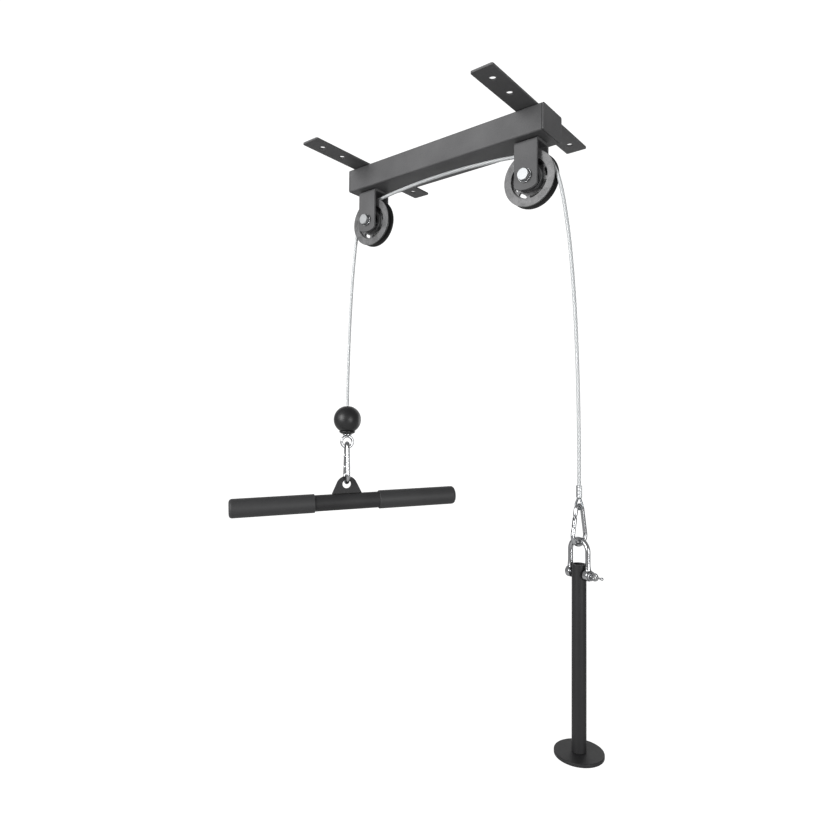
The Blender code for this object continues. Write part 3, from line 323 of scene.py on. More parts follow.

# %% [markdown]
# The wheels are injection moulded from black glass-filled nylon. The eroded mould leaves a fine matt
# grain, and the glass near the surface makes it read as a mid grey. The grain is drawn at 1.3 mm, more
# than its real half a millimetre, so that it shows. The tread and groove are painted nearly black, as
# painted shade for the groove that lies in the flanges' shadow: an attribute on the wheel says where.

# %% Moulded nylon
GROOVE_SHADE_ATTRIBUTE = "painted_groove_shade"


def moulded_nylon():
    finish, tree, shader = new_finish("black_glass_filled_nylon", IOR=1.53, Specular_IOR_Level=0.5)
    grain, flow = noise(tree, 1.3 * MM, 3.0), noise(tree, 16 * MM, 3.0, Distortion=0.8)
    tint = mixed(tree, "#3c3c3d", "#7e7e7f", specked(tree, grain, 0.9, flow, 0.65, 1.25))
    # The tread and groove band is mixed towards near black: painted shade for the groove in the flanges'
    # shadow.
    groove_shade = add_node(tree, "ShaderNodeAttribute", attribute_name=GROOVE_SHADE_ATTRIBUTE)
    shaded_tint = add_node(tree, "ShaderNodeMix", {7: linear_light("#0e0e0f")},
                    {0: groove_shade.outputs["Fac"], 6: tint}, data_type="RGBA")
    dress(tree, shader, shaded_tint.outputs[2], grain, 0.30, 0.42, grain, 0.25, 0.06 * MM)
    return finish


WHEEL_NYLON = moulded_nylon()
print("made", WHEEL_NYLON.name)

# %% [markdown]
# The stopper ball and the grips are black rubber. The ball is compression moulded and smooth, so the
# lamps show as soft spots. The grips feel dry, with a fine grain and a duller shine. Both get the
# pale, dusty clouding that rubber has after handling.

# %% Rubber, smooth and grained
def black_rubber(name, deep, pale, roughness, grain_size, depth):
    finish, tree, shader = new_finish(name, IOR=1.52, Specular_IOR_Level=0.45)
    bloom = noise(tree, 25 * MM, 5.0, Roughness=0.6)
    grain = add_node(tree, "ShaderNodeTexVoronoi", {"Scale": 1 / grain_size},
                     {"Vector": own_place(tree)}, feature="SMOOTH_F1")
    dress(tree, shader, mixed(tree, deep, pale, bloom), bloom, roughness - 0.06, roughness + 0.08,
          grain.outputs["Distance"], 0.3, depth)
    return finish


BALL_RUBBER = black_rubber("smooth_moulded_rubber", "#19191a", "#212122", 0.40, 1.2 * MM, 0.02 * MM)
GRIP_RUBBER = black_rubber("grained_grip_rubber", "#303031", "#3b3b3c", 0.56, 1.4 * MM, 0.12 * MM)
print("made", BALL_RUBBER.name, "and", GRIP_RUBBER.name)

# %% [markdown]
# The cable is galvanised wire rope in a thin sleeve of clear-white PVC, so the twist shows as shallow
# slanting ridges under a glossy skin. The end loop is bare and shows its strands fully. Each rope has
# a UV map that counts strands across and lays along, and the valleys between the strands get a darker
# painted shade from it, which keeps the pattern on the twist when the rope bends.

# %% Coated and bare wire rope
def rope_finish(name, painted_valley_shade, crown, roughness, metallic):
    finish, tree, shader = new_finish(name, Metallic=metallic, Roughness=roughness)
    laid = add_node(tree, "ShaderNodeTexCoord").outputs["UV"]
    strand = add_node(tree, "ShaderNodeSeparateXYZ", links={0: laid})
    # The valleys between the strands are mixed towards the darker colour: painted shade.
    slope = add_node(tree, "ShaderNodeMath", {1: 0.5}, {0: strand.outputs["X"]}, operation="PINGPONG")
    share = add_node(tree, "ShaderNodeMapRange", {"From Min": 0.02, "From Max": 0.30},
                     {"Value": slope.outputs[0]}, interpolation_type="SMOOTHSTEP")
    tree.links.new(mixed(tree, crown, painted_valley_shade, share.outputs[0]), shader.inputs["Base Color"])
    if not metallic:
        shader.inputs["Coat Weight"].default_value = 0.5
        shader.inputs["Coat Roughness"].default_value = 0.12
    return finish


COATED_ROPE = rope_finish("pvc_coated_wire_rope", "#b4b7b9", "#e8eaea", 0.32, 0.0)
BARE_ROPE = rope_finish("galvanised_wire_rope", "#6f7376", "#c3c7c9", 0.30, 1.0)
print("made", COATED_ROPE.name, "and", BARE_ROPE.name)

# %% [markdown]
# Each piece is made the way its maker would: turned, sawn from bar or plate, bent from wire, drilled,
# and eased along its edges so that they catch the light. Primitives would be quicker, but a sharp
# edge shows no highlight, and that is what makes metal look false.

# %% Turning, sawing, bending and easing
def finished(name, bm, finish, smooth_below=32):
    bmesh.ops.recalc_face_normals(bm, faces=bm.faces)
    piece = new_object(name, bm, finish)
    piece.data.shade_smooth()
    piece.data.set_sharp_from_angle(angle=radians(smooth_below))
    return piece


def arc(centre, radius, start, end, steps):
    turns = [start + (end - start) * k / steps for k in range(steps + 1)]
    return [(centre[0] + radius * cos(a), centre[1] + radius * sin(a)) for a in turns]


def circle(radius, count, centre=(0, 0)):
    return arc(centre, radius, 0, 2 * pi * (count - 1) / count, count - 1)


def in_mm(*points, up=0.0):
    return [(r * MM, up + d * MM) for r, d in points]


def flipped(points):
    return [(r, -d) for r, d in reversed(points)]


def ring_section(inner, outer, low, high):
    return in_mm((inner, low), (outer, low), (outer, high), (inner, high))


def eased(corners, radius, steps=4):
    # Rounds every real corner of a closed outline; corners on the turning axis stay as they are.
    outline = []
    for i, corner in enumerate(corners):
        here, before, after = (Vector(corners[k % len(corners)]) for k in (i, i - 1, i + 1))
        back, on = before - here, after - here
        reach = min(radius, 0.45 * back.length, 0.45 * on.length)
        if abs(here.x) < 1e-9 or back.angle(-on) < radians(25):
            outline.append(tuple(here))
            continue
        start, end = here + back.normalized() * reach, here + on.normalized() * reach
        for k in range(steps + 1):
            t = k / steps
            outline.append(tuple(start * (1 - t) ** 2 + here * 2 * t * (1 - t) + end * t * t))
    return outline


def lifted(z):
    return Matrix.Translation((0, 0, z))


AXES = {"X": Vector((1, 0, 0)), "Y": Vector((0, 1, 0)), "Z": Vector((0, 0, 1))}
SIDES = (("left", -1), ("right", 1))
SEAT_GAP, LINK_GAP = 0.3 * MM, 0.6 * MM


def stood(axis, depth, u, v=0.0):
    # A point of a section, with its depth along the axis.
    return {"X": (depth, u, v), "Y": (u, depth, v), "Z": (u, v, depth)}[axis]


def turned(name, section, axis, finish, steps=96):
    # Spins a section of (radius, depth) points once round the axis.
    bm = bmesh.new()
    knots = [bm.verts.new(stood(axis, d, r)) for r, d in section]
    edges = [bm.edges.new((knots[i - 1], knots[i])) for i in range(len(knots))
             if section[i - 1][0] > 1e-7 or section[i][0] > 1e-7]
    bmesh.ops.spin(bm, geom=knots + edges, axis=AXES[axis], cent=(0, 0, 0), angle=2 * pi, steps=steps,
                   use_merge=True)
    bmesh.ops.remove_doubles(bm, verts=bm.verts, dist=1e-7)
    return finished(name, bm, finish)


def sawn(name, outline, low, high, axis, finish):
    # A bar or plate of one outline, from low to high along the axis.
    bm = bmesh.new()
    near, far = ([bm.verts.new(stood(axis, depth, u, v)) for u, v in outline] for depth in (low, high))
    bm.faces.new(near)
    bm.faces.new(far)
    for i in range(len(outline)):
        bm.faces.new((near[i - 1], near[i], far[i], far[i - 1]))
    return finished(name, bm, finish)


def settle(piece):
    # Makes the modifiers' result the piece's own mesh.
    ready = piece.evaluated_get(bpy.context.evaluated_depsgraph_get())
    piece.data = bpy.data.meshes.new_from_object(ready)
    piece.modifiers.clear()
    return piece


def combined(piece, tool, how):
    # how is DIFFERENCE, to cut the tool away, UNION or INTERSECT; the tool is used up.
    step = piece.modifiers.new(how.lower(), "BOOLEAN")
    step.operation, step.solver, step.object = how, "EXACT", tool
    settle(piece)
    bpy.data.objects.remove(tool)
    return piece


def ease_edges(piece, width, rows=3, above_angle=34):
    step = piece.modifiers.new("eased", "BEVEL")
    step.width, step.segments = width, rows
    step.limit_method, step.angle_limit = "ANGLE", radians(above_angle)
    step.use_clamp_overlap = True
    step.harden_normals = True
    return settle(piece)


def walled(bm, rings, closed=False):
    # Faces from each ring of points to the next, and one over each open end.
    for a, b in zip(rings, rings[1:] + rings[:1] * closed):
        for k in range(len(a)):
            bm.faces.new((a[k - 1], a[k], b[k], b[k - 1]))
    if not closed:
        bm.faces.new(rings[0])
        bm.faces.new(rings[-1])


def swept(name, route, radii, finish, sides=28, closed=False):
    # A round wire along the route; radii is one radius, or one for each point.
    bm = bmesh.new()
    route = [Vector(p) for p in route]
    radii = radii if isinstance(radii, list) else [radii] * len(route)
    side = (route[1] - route[0]).orthogonal().normalized()
    rings = []
    for i, point in enumerate(route):
        before = route[i - 1] if closed or i else point
        after = route[(i + 1) % len(route)] if closed or i < len(route) - 1 else point
        along = (after - before).normalized()
        side = (side - along * side.dot(along)).normalized()
        across = along.cross(side)
        rings.append([bm.verts.new(point + side * u + across * v) for u, v in circle(radii[i], sides)])
    walled(bm, rings, closed)
    return finished(name, bm, finish, 40)


def flowing(knots, step):
    # A smooth run through the knots, with a point every step.
    knots = [Vector(p) for p in knots]
    padded = [2 * knots[0] - knots[1]] + knots + [2 * knots[-1] - knots[-2]]
    run = [knots[0]]
    for i in range(1, len(padded) - 2):
        p0, p1, p2, p3 = padded[i - 1:i + 3]
        count = max(1, round((p2 - p1).length / step))
        for k in range(1, count + 1):
            t = k / count
            run.append(0.5 * (2 * p1 + (p2 - p0) * t + (2 * p0 - 5 * p1 + 4 * p2 - p3) * t ** 2
                              + (3 * p1 - p0 - 3 * p2 + p3) * t ** 3))
    return run


def one_piece(name, parts):
    # Joins the meshes of several parts into the first one and gives it the name.
    bm = bmesh.new()
    finish = parts[0].data.materials[0]
    for part in parts:
        part.data.transform(part.matrix_world)
        bm.from_mesh(part.data)
        bpy.data.objects.remove(part)
    return finished(name, bm, finish)


print("shaping tools ready")

# %% [markdown]
# A piece has to move with the body that carries it and hide the CAD solid it stands for. Both follow
# from the CAD node's name, so one function does them, and it prints how far the piece's box is from the
# solid's. Smooth shading alone would let an eased edge bend the light on the flat face beside it;
# normals weighted by area keep the flat faces flat.

# %% Putting a piece in its place
def in_place(piece, node, at):
    piece.data.transform(at if isinstance(at, Matrix) else Matrix.Translation(at))
    piece.modifiers.new("weighted", "WEIGHTED_NORMAL").keep_sharp = True
    settle(piece)
    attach(piece, frame["nodes"][node]["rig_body"])
    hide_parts(node)
    spots = [v.co for v in piece.data.vertices]
    off = [abs(pick(p[i] for p in spots) - corner[i])
           for corner, pick in zip(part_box(node), (min, max)) for i in range(3)]
    print(f"{piece.name}: {len(piece.data.polygons)} faces, within {max(off) / MM:.2f} mm of {node}")


# %% [markdown]
# The beam is rectangular steel tube, closed by a welded plate at each end. It could be a cube with a
# bevel, but its corner radius, 3 mm, carries the light line along its lower front edge, so the
# outline is drawn and sawn to length.

# %% Beam tube and end plates
def rounded_outline(width, height, radius, steps=10):
    w, h = width / 2 - radius, height / 2 - radius
    corners = (((w, h), 0), ((-w, h), pi / 2), ((-w, -h), pi), ((w, -h), 1.5 * pi))
    return [p for centre, a in corners for p in arc(centre, radius, a, a + pi / 2, steps)]


low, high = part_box("beam_tube")
BEAM_MID_Z = (low.z + high.z) / 2
beam_outline = rounded_outline(high.y - low.y, high.z - low.z, 3 * MM)
for node, ending, ease in (("beam_tube", "_drawn", 0.3 * MM), ("left_end_plate", "_welded", 1.0 * MM),
                           ("right_end_plate", "_welded", 1.0 * MM)):
    low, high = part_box(node)
    bar = sawn(node + ending, beam_outline, low.x, high.x, "X", CHARCOAL_COAT)
    in_place(ease_edges(bar, ease), node, at=(0, 0, BEAM_MID_Z))

# %% [markdown]
# The ceiling straps are 3 mm flat bar with slightly rounded corners and four drilled screw holes. The
# coat runs over the edges and leaves them soft, so they are eased.

# %% Ceiling straps
def drill(piece, centre, radius, axis, length=60 * MM):
    bit = sawn("drill_bit", circle(radius, 48), -length, length, axis, piece.data.materials[0])
    bit.data.transform(Matrix.Translation(centre))
    return combined(piece, bit, "DIFFERENCE")


SCREW_ROWS, SCREW_RADIUS = (-121 * MM, -76 * MM, 76 * MM, 121 * MM), 5 * MM
for side in ("left", "right"):
    low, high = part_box(side + "_ceiling_strap")
    middle = (low.x + high.x) / 2
    outline = rounded_outline(high.x - low.x, high.y - low.y, 3 * MM, 8)
    strap = sawn(side + "_strap_sheared", outline, low.z, high.z, "Z", CHARCOAL_COAT)
    for row in SCREW_ROWS:
        drill(strap, (0, row, 0), SCREW_RADIUS, "Z")
    in_place(ease_edges(strap, 0.4 * MM), side + "_ceiling_strap", at=(middle, 0, 0))

# %% [markdown]
# Each pulley bracket is a strip of 4 mm plate folded into a U and welded under the beam, back up. The
# foot of each leg has a shallow arc and clipped corners. A bend modifier could fold it, but the fold
# is only a section here, so the U is drawn and its legs are trimmed to shape.

# %% Pulley brackets
AXLE_DROP = 55.7 * MM
BRACKET_HALF, LEG_FOOT = 19 * MM, -20.5 * MM
BOLT_HOLE = 5.3 * MM


def folded_bracket(side):
    top = AXLE_DROP - SEAT_GAP
    bend, plate = 6.5 * MM, 4 * MM

    def over(half, radius):
        leg = [(half, LEG_FOOT)] + arc((BRACKET_HALF - bend, top - bend), radius, 0, pi / 2, 12)
        return leg + [(-y, z) for y, z in reversed(leg)]

    section = over(BRACKET_HALF, bend) + over(BRACKET_HALF - plate, bend - plate)[::-1]
    bracket = sawn(side + "_bracket_folded", section, -BRACKET_HALF, BRACKET_HALF, "X", CHARCOAL_COAT)
    rise, clip = 3.5 * MM, 3 * MM
    reach = BRACKET_HALF - clip
    radius = (reach ** 2 + rise ** 2) / (2 * rise)
    spread = asin(reach / radius)
    foot = arc((0, LEG_FOOT + radius), radius, -pi / 2 - spread, -pi / 2 + spread, 28)
    wide, shoulder = 2 * BRACKET_HALF, LEG_FOOT + rise + clip + BRACKET_HALF
    outline = foot + [(wide, shoulder), (wide, top + wide), (-wide, top + wide), (-wide, shoulder)]
    combined(bracket, sawn("leg_trimmer", outline, -wide, wide, "Y", CHARCOAL_COAT), "INTERSECT")
    drill(bracket, (0, 0, 0), BOLT_HOLE, "Y")
    return ease_edges(bracket, 0.6 * MM)


for side in ("left", "right"):
    low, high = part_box(side + "_pulley_bracket")
    AXLE = Vector(((low.x + high.x) / 2, 0, high.z - AXLE_DROP + SEAT_GAP))
    in_place(folded_bracket(side), side + "_pulley_bracket", at=AXLE)
AXLE_X, AXLE_Z = abs(AXLE.x), AXLE.z
AXLES = [(side, (sign * AXLE_X, 0, AXLE_Z)) for side, sign in SIDES]
print(f"axles at x = +-{AXLE_X:.4f}, z = {AXLE_Z:.4f}")

# %% [markdown]
# A pulley wheel is one nylon moulding: a broad rim with a round groove, a recessed web with eight
# slots that save material, and a hub round the bearing. It could be turned in one go and then cut,
# but only the web needs cutting, so the three are made apart and joined. The rim's flat face has a
# soft sheen, which tells the nylon from the coated bracket in front of it.

# %% Pulley wheels
PITCH_RADIUS = 38.025 * MM
WEB_HALF = 2.5 * MM


def wheel_rim(side):
    front = in_mm((28.6, -2.5), (29.2, -2.5), (30.0, -8.0), (42.0, -8.0), (42.0, -5.6))
    groove = arc((PITCH_RADIUS, 0), 3.1 * MM, pi + radians(65), pi - radians(65), 20)
    section = eased(front + groove + flipped(front), 0.8 * MM)
    return turned(side + "_wheel_rim", section, "Y", WHEEL_NYLON, 128)


def wheel_hub(side):
    front = in_mm((15.15, -6.25), (19.7, -6.25), (20.5, -2.5), (21.2, -2.5))
    return turned(side + "_wheel_hub", eased(front + flipped(front), 0.6 * MM), "Y", WHEEL_NYLON)


def slot_outline(middle):
    mean, cap = 25.8 * MM, 2.6 * MM
    reach = radians(17) - cap / mean
    low, high = middle - reach, middle + reach
    far, near = arc((0, 0), mean + cap, low, high, 8), arc((0, 0), mean - cap, high, low, 8)

    def end(turn, start):
        return arc((mean * cos(turn), mean * sin(turn)), cap, start, start + pi, 8)[1:-1]

    return far + end(high, high) + near + end(low, low + pi)


def wheel_web(side):
    web = sawn(side + "_wheel_web", circle(29.6 * MM, 96), -WEB_HALF, WEB_HALF, "Y", WHEEL_NYLON)
    drill(web, (0, 0, 0), 20.2 * MM, "Y")
    for k in range(8):
        slot = sawn("slot", slot_outline(radians(15 + 45 * k)), -9 * MM, 9 * MM, "Y", WHEEL_NYLON)
        combined(web, slot, "DIFFERENCE")
    return ease_edges(web, 0.5 * MM, 2)


# Marks the rim's outer band, tread and groove, where the painted shade goes.
def mark_painted_groove_shade(wheel, above=33 * MM, beside=7.5 * MM):
    groove_shade = wheel.data.attributes.new(GROOVE_SHADE_ATTRIBUTE, "FLOAT", "POINT")
    for spot, mark in zip(wheel.data.vertices, groove_shade.data):
        mark.value = float(hypot(spot.co.x, spot.co.z) > above and abs(spot.co.y) < beside)


for side, axle in AXLES:
    wheel = one_piece(side + "_wheel_moulded", [wheel_rim(side), wheel_web(side), wheel_hub(side)])
    mark_painted_groove_shade(wheel)
    in_place(wheel, side + "_pulley_wheel", at=axle)

# %% [markdown]
# In each hub sits a ball bearing, 30 mm across and 9 mm wide, whose shields hide the balls. The inner
# ring stands still on the bolt and the outer ring turns with the wheel, so they are two pieces.

# %% Ball bearings
shielded = in_mm((7.9, -4.0), (12.6, -4.0), (12.7, -4.5), (14.85, -4.5))
rings = (("outer", eased(shielded + flipped(shielded), 0.35 * MM)),
         ("inner", eased(ring_section(5.3, 7.5, -4.5, 4.5), 0.4 * MM)))
for side, axle in AXLES:
    for part, section in rings:
        ring = turned(f"{side}_bearing_{part}", section, "Y", BEARING_STEEL)
        in_place(ring, f"{side}_bearing_{part}_ring", at=axle)

# %% [markdown]
# The axle is an M10 bolt with its head in front, two washers, two spacers beside the bearing and a
# lock nut behind. The thread could be a bump, but the bolt's end stands free behind the nut, so it is
# real: each ring of points steps in and out as the helix passes.

# %% Axle bolts, washers, spacers and lock nuts
THREAD_PITCH, THREAD_DEPTH = 1.5 * MM, 0.75 * MM
HEXAGON = circle(17 * MM / sqrt(3), 6)


def threaded(name, radius, low, high, finish, sides=48):
    bm = bmesh.new()
    rows = round((high - low) / (THREAD_PITCH / 8))
    rings = []
    for i in range(rows + 1):
        y = low + (high - low) * i / rows
        taper = min(1.0, (high - y) / (1.2 * MM) + 0.35)
        rings.append([])
        for k, (u, v) in enumerate(circle(1.0, sides)):
            phase = (y / THREAD_PITCH - k / sides) % 1.0
            depth = THREAD_DEPTH * min(1.0, max(0.0, abs(2 * phase - 1) * 1.35 - 0.15))
            r = min(radius - depth, radius * (0.82 + 0.18 * taper))
            rings[-1].append(bm.verts.new((r * u, y, r * v)))
    walled(bm, rings)
    return finished(name, bm, finish, 50)


def bolt(side):
    head = sawn(side + "_bolt_head", HEXAGON, -27.9 * MM, -21.6 * MM, "Y", BOLT_ZINC)
    dome = in_mm((0, -28.0), (8.0, -28.0), (8.5, -27.85), (10.2, -26.2), (10.2, -21.6), (0, -21.6))
    dome = turned("head_forming_die", dome, "Y", BOLT_ZINC, 64)
    ease_edges(combined(head, dome, "INTERSECT"), 0.25 * MM, 2)
    shank = turned(side + "_bolt_shank", ring_section(0, 5, -22, 17), "Y", BOLT_ZINC, 48)
    thread = threaded(side + "_bolt_thread", 5 * MM, 17 * MM, 34.1 * MM, BOLT_ZINC)
    return one_piece(side + "_axle_bolt_m10", [head, shank, thread])


def lock_nut(side):
    nut = sawn(side + "_nut", HEXAGON, 21.6 * MM, 31.6 * MM, "Y", BOLT_ZINC)
    form = in_mm((0, 21.6), (8.8, 21.6), (10.2, 22.6), (10.2, 27.4), (8.3, 28.6), (7.7, 31.0),
                 (7.2, 31.6), (0, 31.6))
    combined(nut, turned("nut_forming_die", form, "Y", BOLT_ZINC, 64), "INTERSECT")
    drill(nut, (0, 0, 0), BOLT_HOLE, "Y")
    return ease_edges(nut, 0.25 * MM, 2)


for side, axle in AXLES:
    in_place(bolt(side), side + "_axle_bolt", at=axle)
    in_place(lock_nut(side), side + "_lock_nut", at=axle)
    rings = (("head_washer", 10.5, -21.3, -19.3), ("nut_washer", 10.5, 19.3, 21.3),
             ("front_spacer", 7.25, -14.7, -4.8), ("rear_spacer", 7.25, 4.8, 14.7))
    for name, outer, low, high in rings:
        section = eased(ring_section(5.3, outer, low, high), 0.4 * MM)
        ring = turned(f"{side}_{name}_turned", section, "Y", BRIGHT_ZINC, 72)
        in_place(ring, f"{side}_{name}", at=axle)

# %% [markdown]
# The cable runs from the stopper ball up over the left wheel, in a low arch under the beam, over the
# right wheel and down to the ferrule. Its springy core makes it leave the wheels in open bows. A
# curve object could follow it, but the drops need to know how much cable lies behind each point.

# %% The cable's route
CABLE_RADIUS = 2.75 * MM
HANDLE_X, WEIGHT_X = (sum(corner.x / 2 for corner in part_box(node))
                      for node in ("handle_eye", "crimp_sleeve"))
HANDLE_END_Z, WEIGHT_END_Z = (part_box(f"cable_{line}_drop")[0].z for line in ("handle", "weight"))


def on_wheel(sign, degrees):
    a = radians(degrees)
    return (sign * AXLE_X + PITCH_RADIUS * cos(a), 0, AXLE_Z + PITCH_RADIUS * sin(a))


def arch(start, end, rise):
    return [(start[0] + (end[0] - start[0]) * s, 0, start[2] + rise * (1 - (2 * s - 1) ** 2))
            for s in (0.08, 0.22, 0.40, 0.60, 0.78, 0.92)]


def bowed_drop(top, x, bow, end_z):
    # Each pair of the bow is how far beside the drop's end and how far below the wheel, in mm.
    return [top] + [(x + dx * MM, 0, top[2] - dz * MM) for dx, dz in bow] + [(x, 0, end_z)]


def length_along(route):
    lengths = [0.0]
    for a, b in zip(route, route[1:]):
        lengths.append(lengths[-1] + (b - a).length)
    return lengths


over_left = [on_wheel(-1, a) for a in (169, 159, 149, 139, 129, 119, 109, 97)]
over_right = [on_wheel(1, a) for a in (83, 70, 60, 50, 40, 30, 20)]
span_knots = over_left + arch(over_left[-1], over_right[0], 11.8 * MM) + over_right
handle_bow = [(18.2, 30), (11.8, 80), (6.6, 140), (2.8, 210), (0.6, 280), (0, 325)]
weight_bow = [(-31.8, 18), (-25.6, 43), (-20.1, 75), (-14.1, 120), (-8.7, 180), (-4.4, 250),
              (-1.5, 330), (-0.2, 400), (0, 435)]
handle_knots = bowed_drop(over_left[0], HANDLE_X, handle_bow, HANDLE_END_Z)
weight_knots = bowed_drop(over_right[-1], WEIGHT_X, weight_bow, WEIGHT_END_Z)
whole_route = flowing(list(reversed(handle_knots)) + span_knots[1:] + weight_knots[1:], 1.5 * MM)
lengths = length_along(whole_route)
print(f"cable: {lengths[-1]:.3f} m from the stopper ball to the ferrule")

# %% [markdown]
# A curve with a round bevel would be smooth; this rope shows its lay, so rings of points with six
# shallow lobes are set along the route, each turned a little from the last.

# %% Rings of a laid rope
def strand_form(angle, strands, cover):
    # The outline of strands laid round a core, from bare at cover 0 to a smooth sleeve at cover 1.
    half = pi / strands
    offset = (angle + half) % (2 * half) - half
    reach = 2 / 3
    bare = reach * cos(offset) + sqrt(max(0.0, 1 / 9 - (reach * sin(offset)) ** 2))
    return cover + (1 - cover) * bare


def laid_rope(name, route, travelled, radius, strands, lay, cover, finish, sides=36):
    # The strands turn once round in each lay; travelled is the cable length at each point.
    bm = bmesh.new()
    mark = bm.loops.layers.uv.new("strands")
    rings = []
    for i, point in enumerate(route):
        along = (route[min(i + 1, len(route) - 1)] - route[max(i - 1, 0)]).normalized()
        side = AXES["Y"]
        across = along.cross(side).normalized()
        rings.append([])
        for k, (u, v) in enumerate(circle(radius, sides)):
            strand = strand_form(2 * pi * (k / sides - travelled[i] / lay), strands, cover)
            rings[-1].append(bm.verts.new(point + (side * u + across * v) * strand))
    for i in range(len(rings) - 1):
        for k in range(sides):
            corners = ((i, k - 1), (i, k), (i + 1, k), (i + 1, k - 1))
            face = bm.faces.new([rings[n][c] for n, c in corners])
            face.smooth = True
            for loop, (n, c) in zip(face.loops, corners):
                turns = travelled[n] / lay
                loop[mark].uv = ((c / sides - turns) * strands, turns)
    return new_object(name, bm, finish)


# %% [markdown]
# Over the wheels the cable keeps its place, but each drop grows and shrinks with the travel. One long
# blend eases in and out, so its middle would move one and a half times as fast and fold the cable
# over itself at full travel. So each drop is made of stretches, cut at places where the ease can be
# undone.

# %% Span and drops
def share_to_ease(share):
    # The t for which t * t * (3 - 2 * t) is the share.
    return 0.5 - sin(asin(1 - 2 * share) / 3)


def drop_cuts(end=0.030, growth=1.26):
    # Where the stretches meet, as (share of length, share of travel), symmetrical about the middle.
    ends = [0.68 * end]
    while share_to_ease(ends[-1]) * growth < 0.5:
        t = share_to_ease(ends[-1]) * growth
        ends.append(t * t * (3 - 2 * t))
    travel = [0.0] + ends + [1 - e for e in reversed(ends)] + [1.0]
    length = [end + (t - ends[0]) * (1 - 2 * end) / (1 - 2 * ends[0]) for t in travel[1:-1]]
    return list(zip([0.0] + length + [1.0], travel))


def coated_rope(name, first, last):
    part = slice(first, last + 1)
    return laid_rope(name, whole_route[part], lengths[part], CABLE_RADIUS, 6, 34 * MM, 0.80, COATED_ROPE)


def nearest(z, first, last):
    return min(range(first, last + 1), key=lambda i: abs(whole_route[i].z - z))


def hang_drop(label, top, foot, node):
    # top and foot are places along the whole route; the travel goes from none at top to all at foot.
    top_z, foot_z = whole_route[top].z, whole_route[foot].z
    cuts = []
    for length_share, travel_share in drop_cuts():
        i = nearest(top_z + (foot_z - top_z) * length_share, min(top, foot), max(top, foot))
        cuts.append((i, travel_share))
    for number, ((i, a), (j, b)) in enumerate(zip(cuts, cuts[1:]), 1):
        rope = coated_rope(f"{label}_{number:02d}", min(i, j), max(i, j))
        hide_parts(node)
        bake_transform(rope)
    return len(cuts) - 1


def place_of(knot):
    return min(range(len(whole_route)), key=lambda i: (whole_route[i] - Vector(knot)).length)


handle_top, weight_top = place_of(over_left[0]), place_of(over_right[-1])
in_place(coated_rope("cable_span_laid", handle_top, weight_top), "cable_span", (0, 0, 0))
for line, top, foot in (("handle", handle_top, 0), ("weight", weight_top, len(whole_route) - 1)):
    count = hang_drop(f"cable_{line}_stretch", top, foot, f"cable_{line}_drop")
    print(count, "stretches from the wheel to the", line)

# %% [markdown]
# The stopper ball keeps the cable's fitting out of the wheel. It is solid rubber with a countersink
# for the cable above and a flat seat below. A sphere primitive has neither, so the section is drawn
# and turned. The washer under it is a cup that follows the ball up to its lip.

# %% Stopper ball and washer
BALL_Z, BALL_RADIUS = -458.4 * MM, 25.5 * MM
BALL_SEAT = BALL_RADIUS - 1.5 * MM


def ball_section():
    outside = arc((0, 0), BALL_RADIUS, -asin(BALL_SEAT / BALL_RADIUS), acos(6 * MM / BALL_RADIUS), 64)
    section = in_mm((5.3, 0), up=-BALL_SEAT) + outside + in_mm((3.05, -8), up=outside[-1][1])
    return eased(section + in_mm((3.05, 22.3), (5.3, 22.3), up=-BALL_SEAT), 0.9 * MM)


HANDLE_POST = Matrix.Translation((HANDLE_X, 0, BALL_Z))
ball = turned("stopper_ball_moulded", ball_section(), "Z", BALL_RUBBER, 128)
in_place(ball, "stopper_ball", at=HANDLE_POST)
seat = -BALL_SEAT - SEAT_GAP
hollow = arc((0, 0), BALL_RADIUS + 0.5 * MM, -acos(14.4 / 26.0), asin(seat / (26.0 * MM)), 12)
cup = in_mm((5.3, -2.8), (9.3, -2.8), (13.8, -0.6), (15.0, 1.0), (15.0, 2.05), up=seat)
cup += hollow + in_mm((5.3, 0), up=seat)
washer = turned("stopper_washer_cupped", eased(cup, 0.5 * MM), "Z", BALL_RUBBER, 72)
in_place(washer, "stopper_washer", at=HANDLE_POST)

# %% [markdown]
# The eye below the ball is a forged ring on a collared shank, which goes up into the ball and holds
# the cable's end. Two crossing meshes would have a crease where a forging has none, so the shank
# flares into the ring before they are united.

# %% Eye
HANDLE_TURN = Matrix.Rotation(radians(55), 4, "Z")
EYE_RADIUS, EYE_WIRE = 10.4 * MM, 2.6 * MM
EYE_TOP = seat - 2.8 * MM - SEAT_GAP
EYE_CENTRE = EYE_TOP - 2 * MM - EYE_RADIUS - EYE_WIRE + 0.8 * MM
stem = in_mm((0, -4.4), (3.4, -4.4), (4.6, -2.9), (7.6, -2), (8.5, -1.5), (8.5, 0), (5, 0), up=EYE_TOP)
stem += in_mm((5, 22), (3.05, 22), (3.05, 8), (0, 8), up=-BALL_SEAT)
stem = turned("eye_stem", eased(stem, 0.5 * MM), "Z", BRIGHT_ZINC, 72)
ring = [(x, 0, z) for x, z in circle(EYE_RADIUS, 72, (0, EYE_CENTRE))]
ring = swept("eye_ring", ring, EYE_WIRE, BRIGHT_ZINC, closed=True)
eye = combined(ring, stem, "UNION")
eye.name = "handle_eye_forged"
in_place(eye, "handle_eye", at=HANDLE_POST @ HANDLE_TURN)

# %% [markdown]
# A snap hook is bent from round wire into a pear, with a gate in one leg that turns on a rivet
# through a flattened tongue and closes on a second tongue. Both hooks are one shape at two sizes, so
# body, rivet and gate are made from length, wire thickness and the two widths.

# %% Snap hooks
GATE_GAP = 0.9 * MM
GATE_FROM = 0.27
TONGUE_SHARE = 0.36


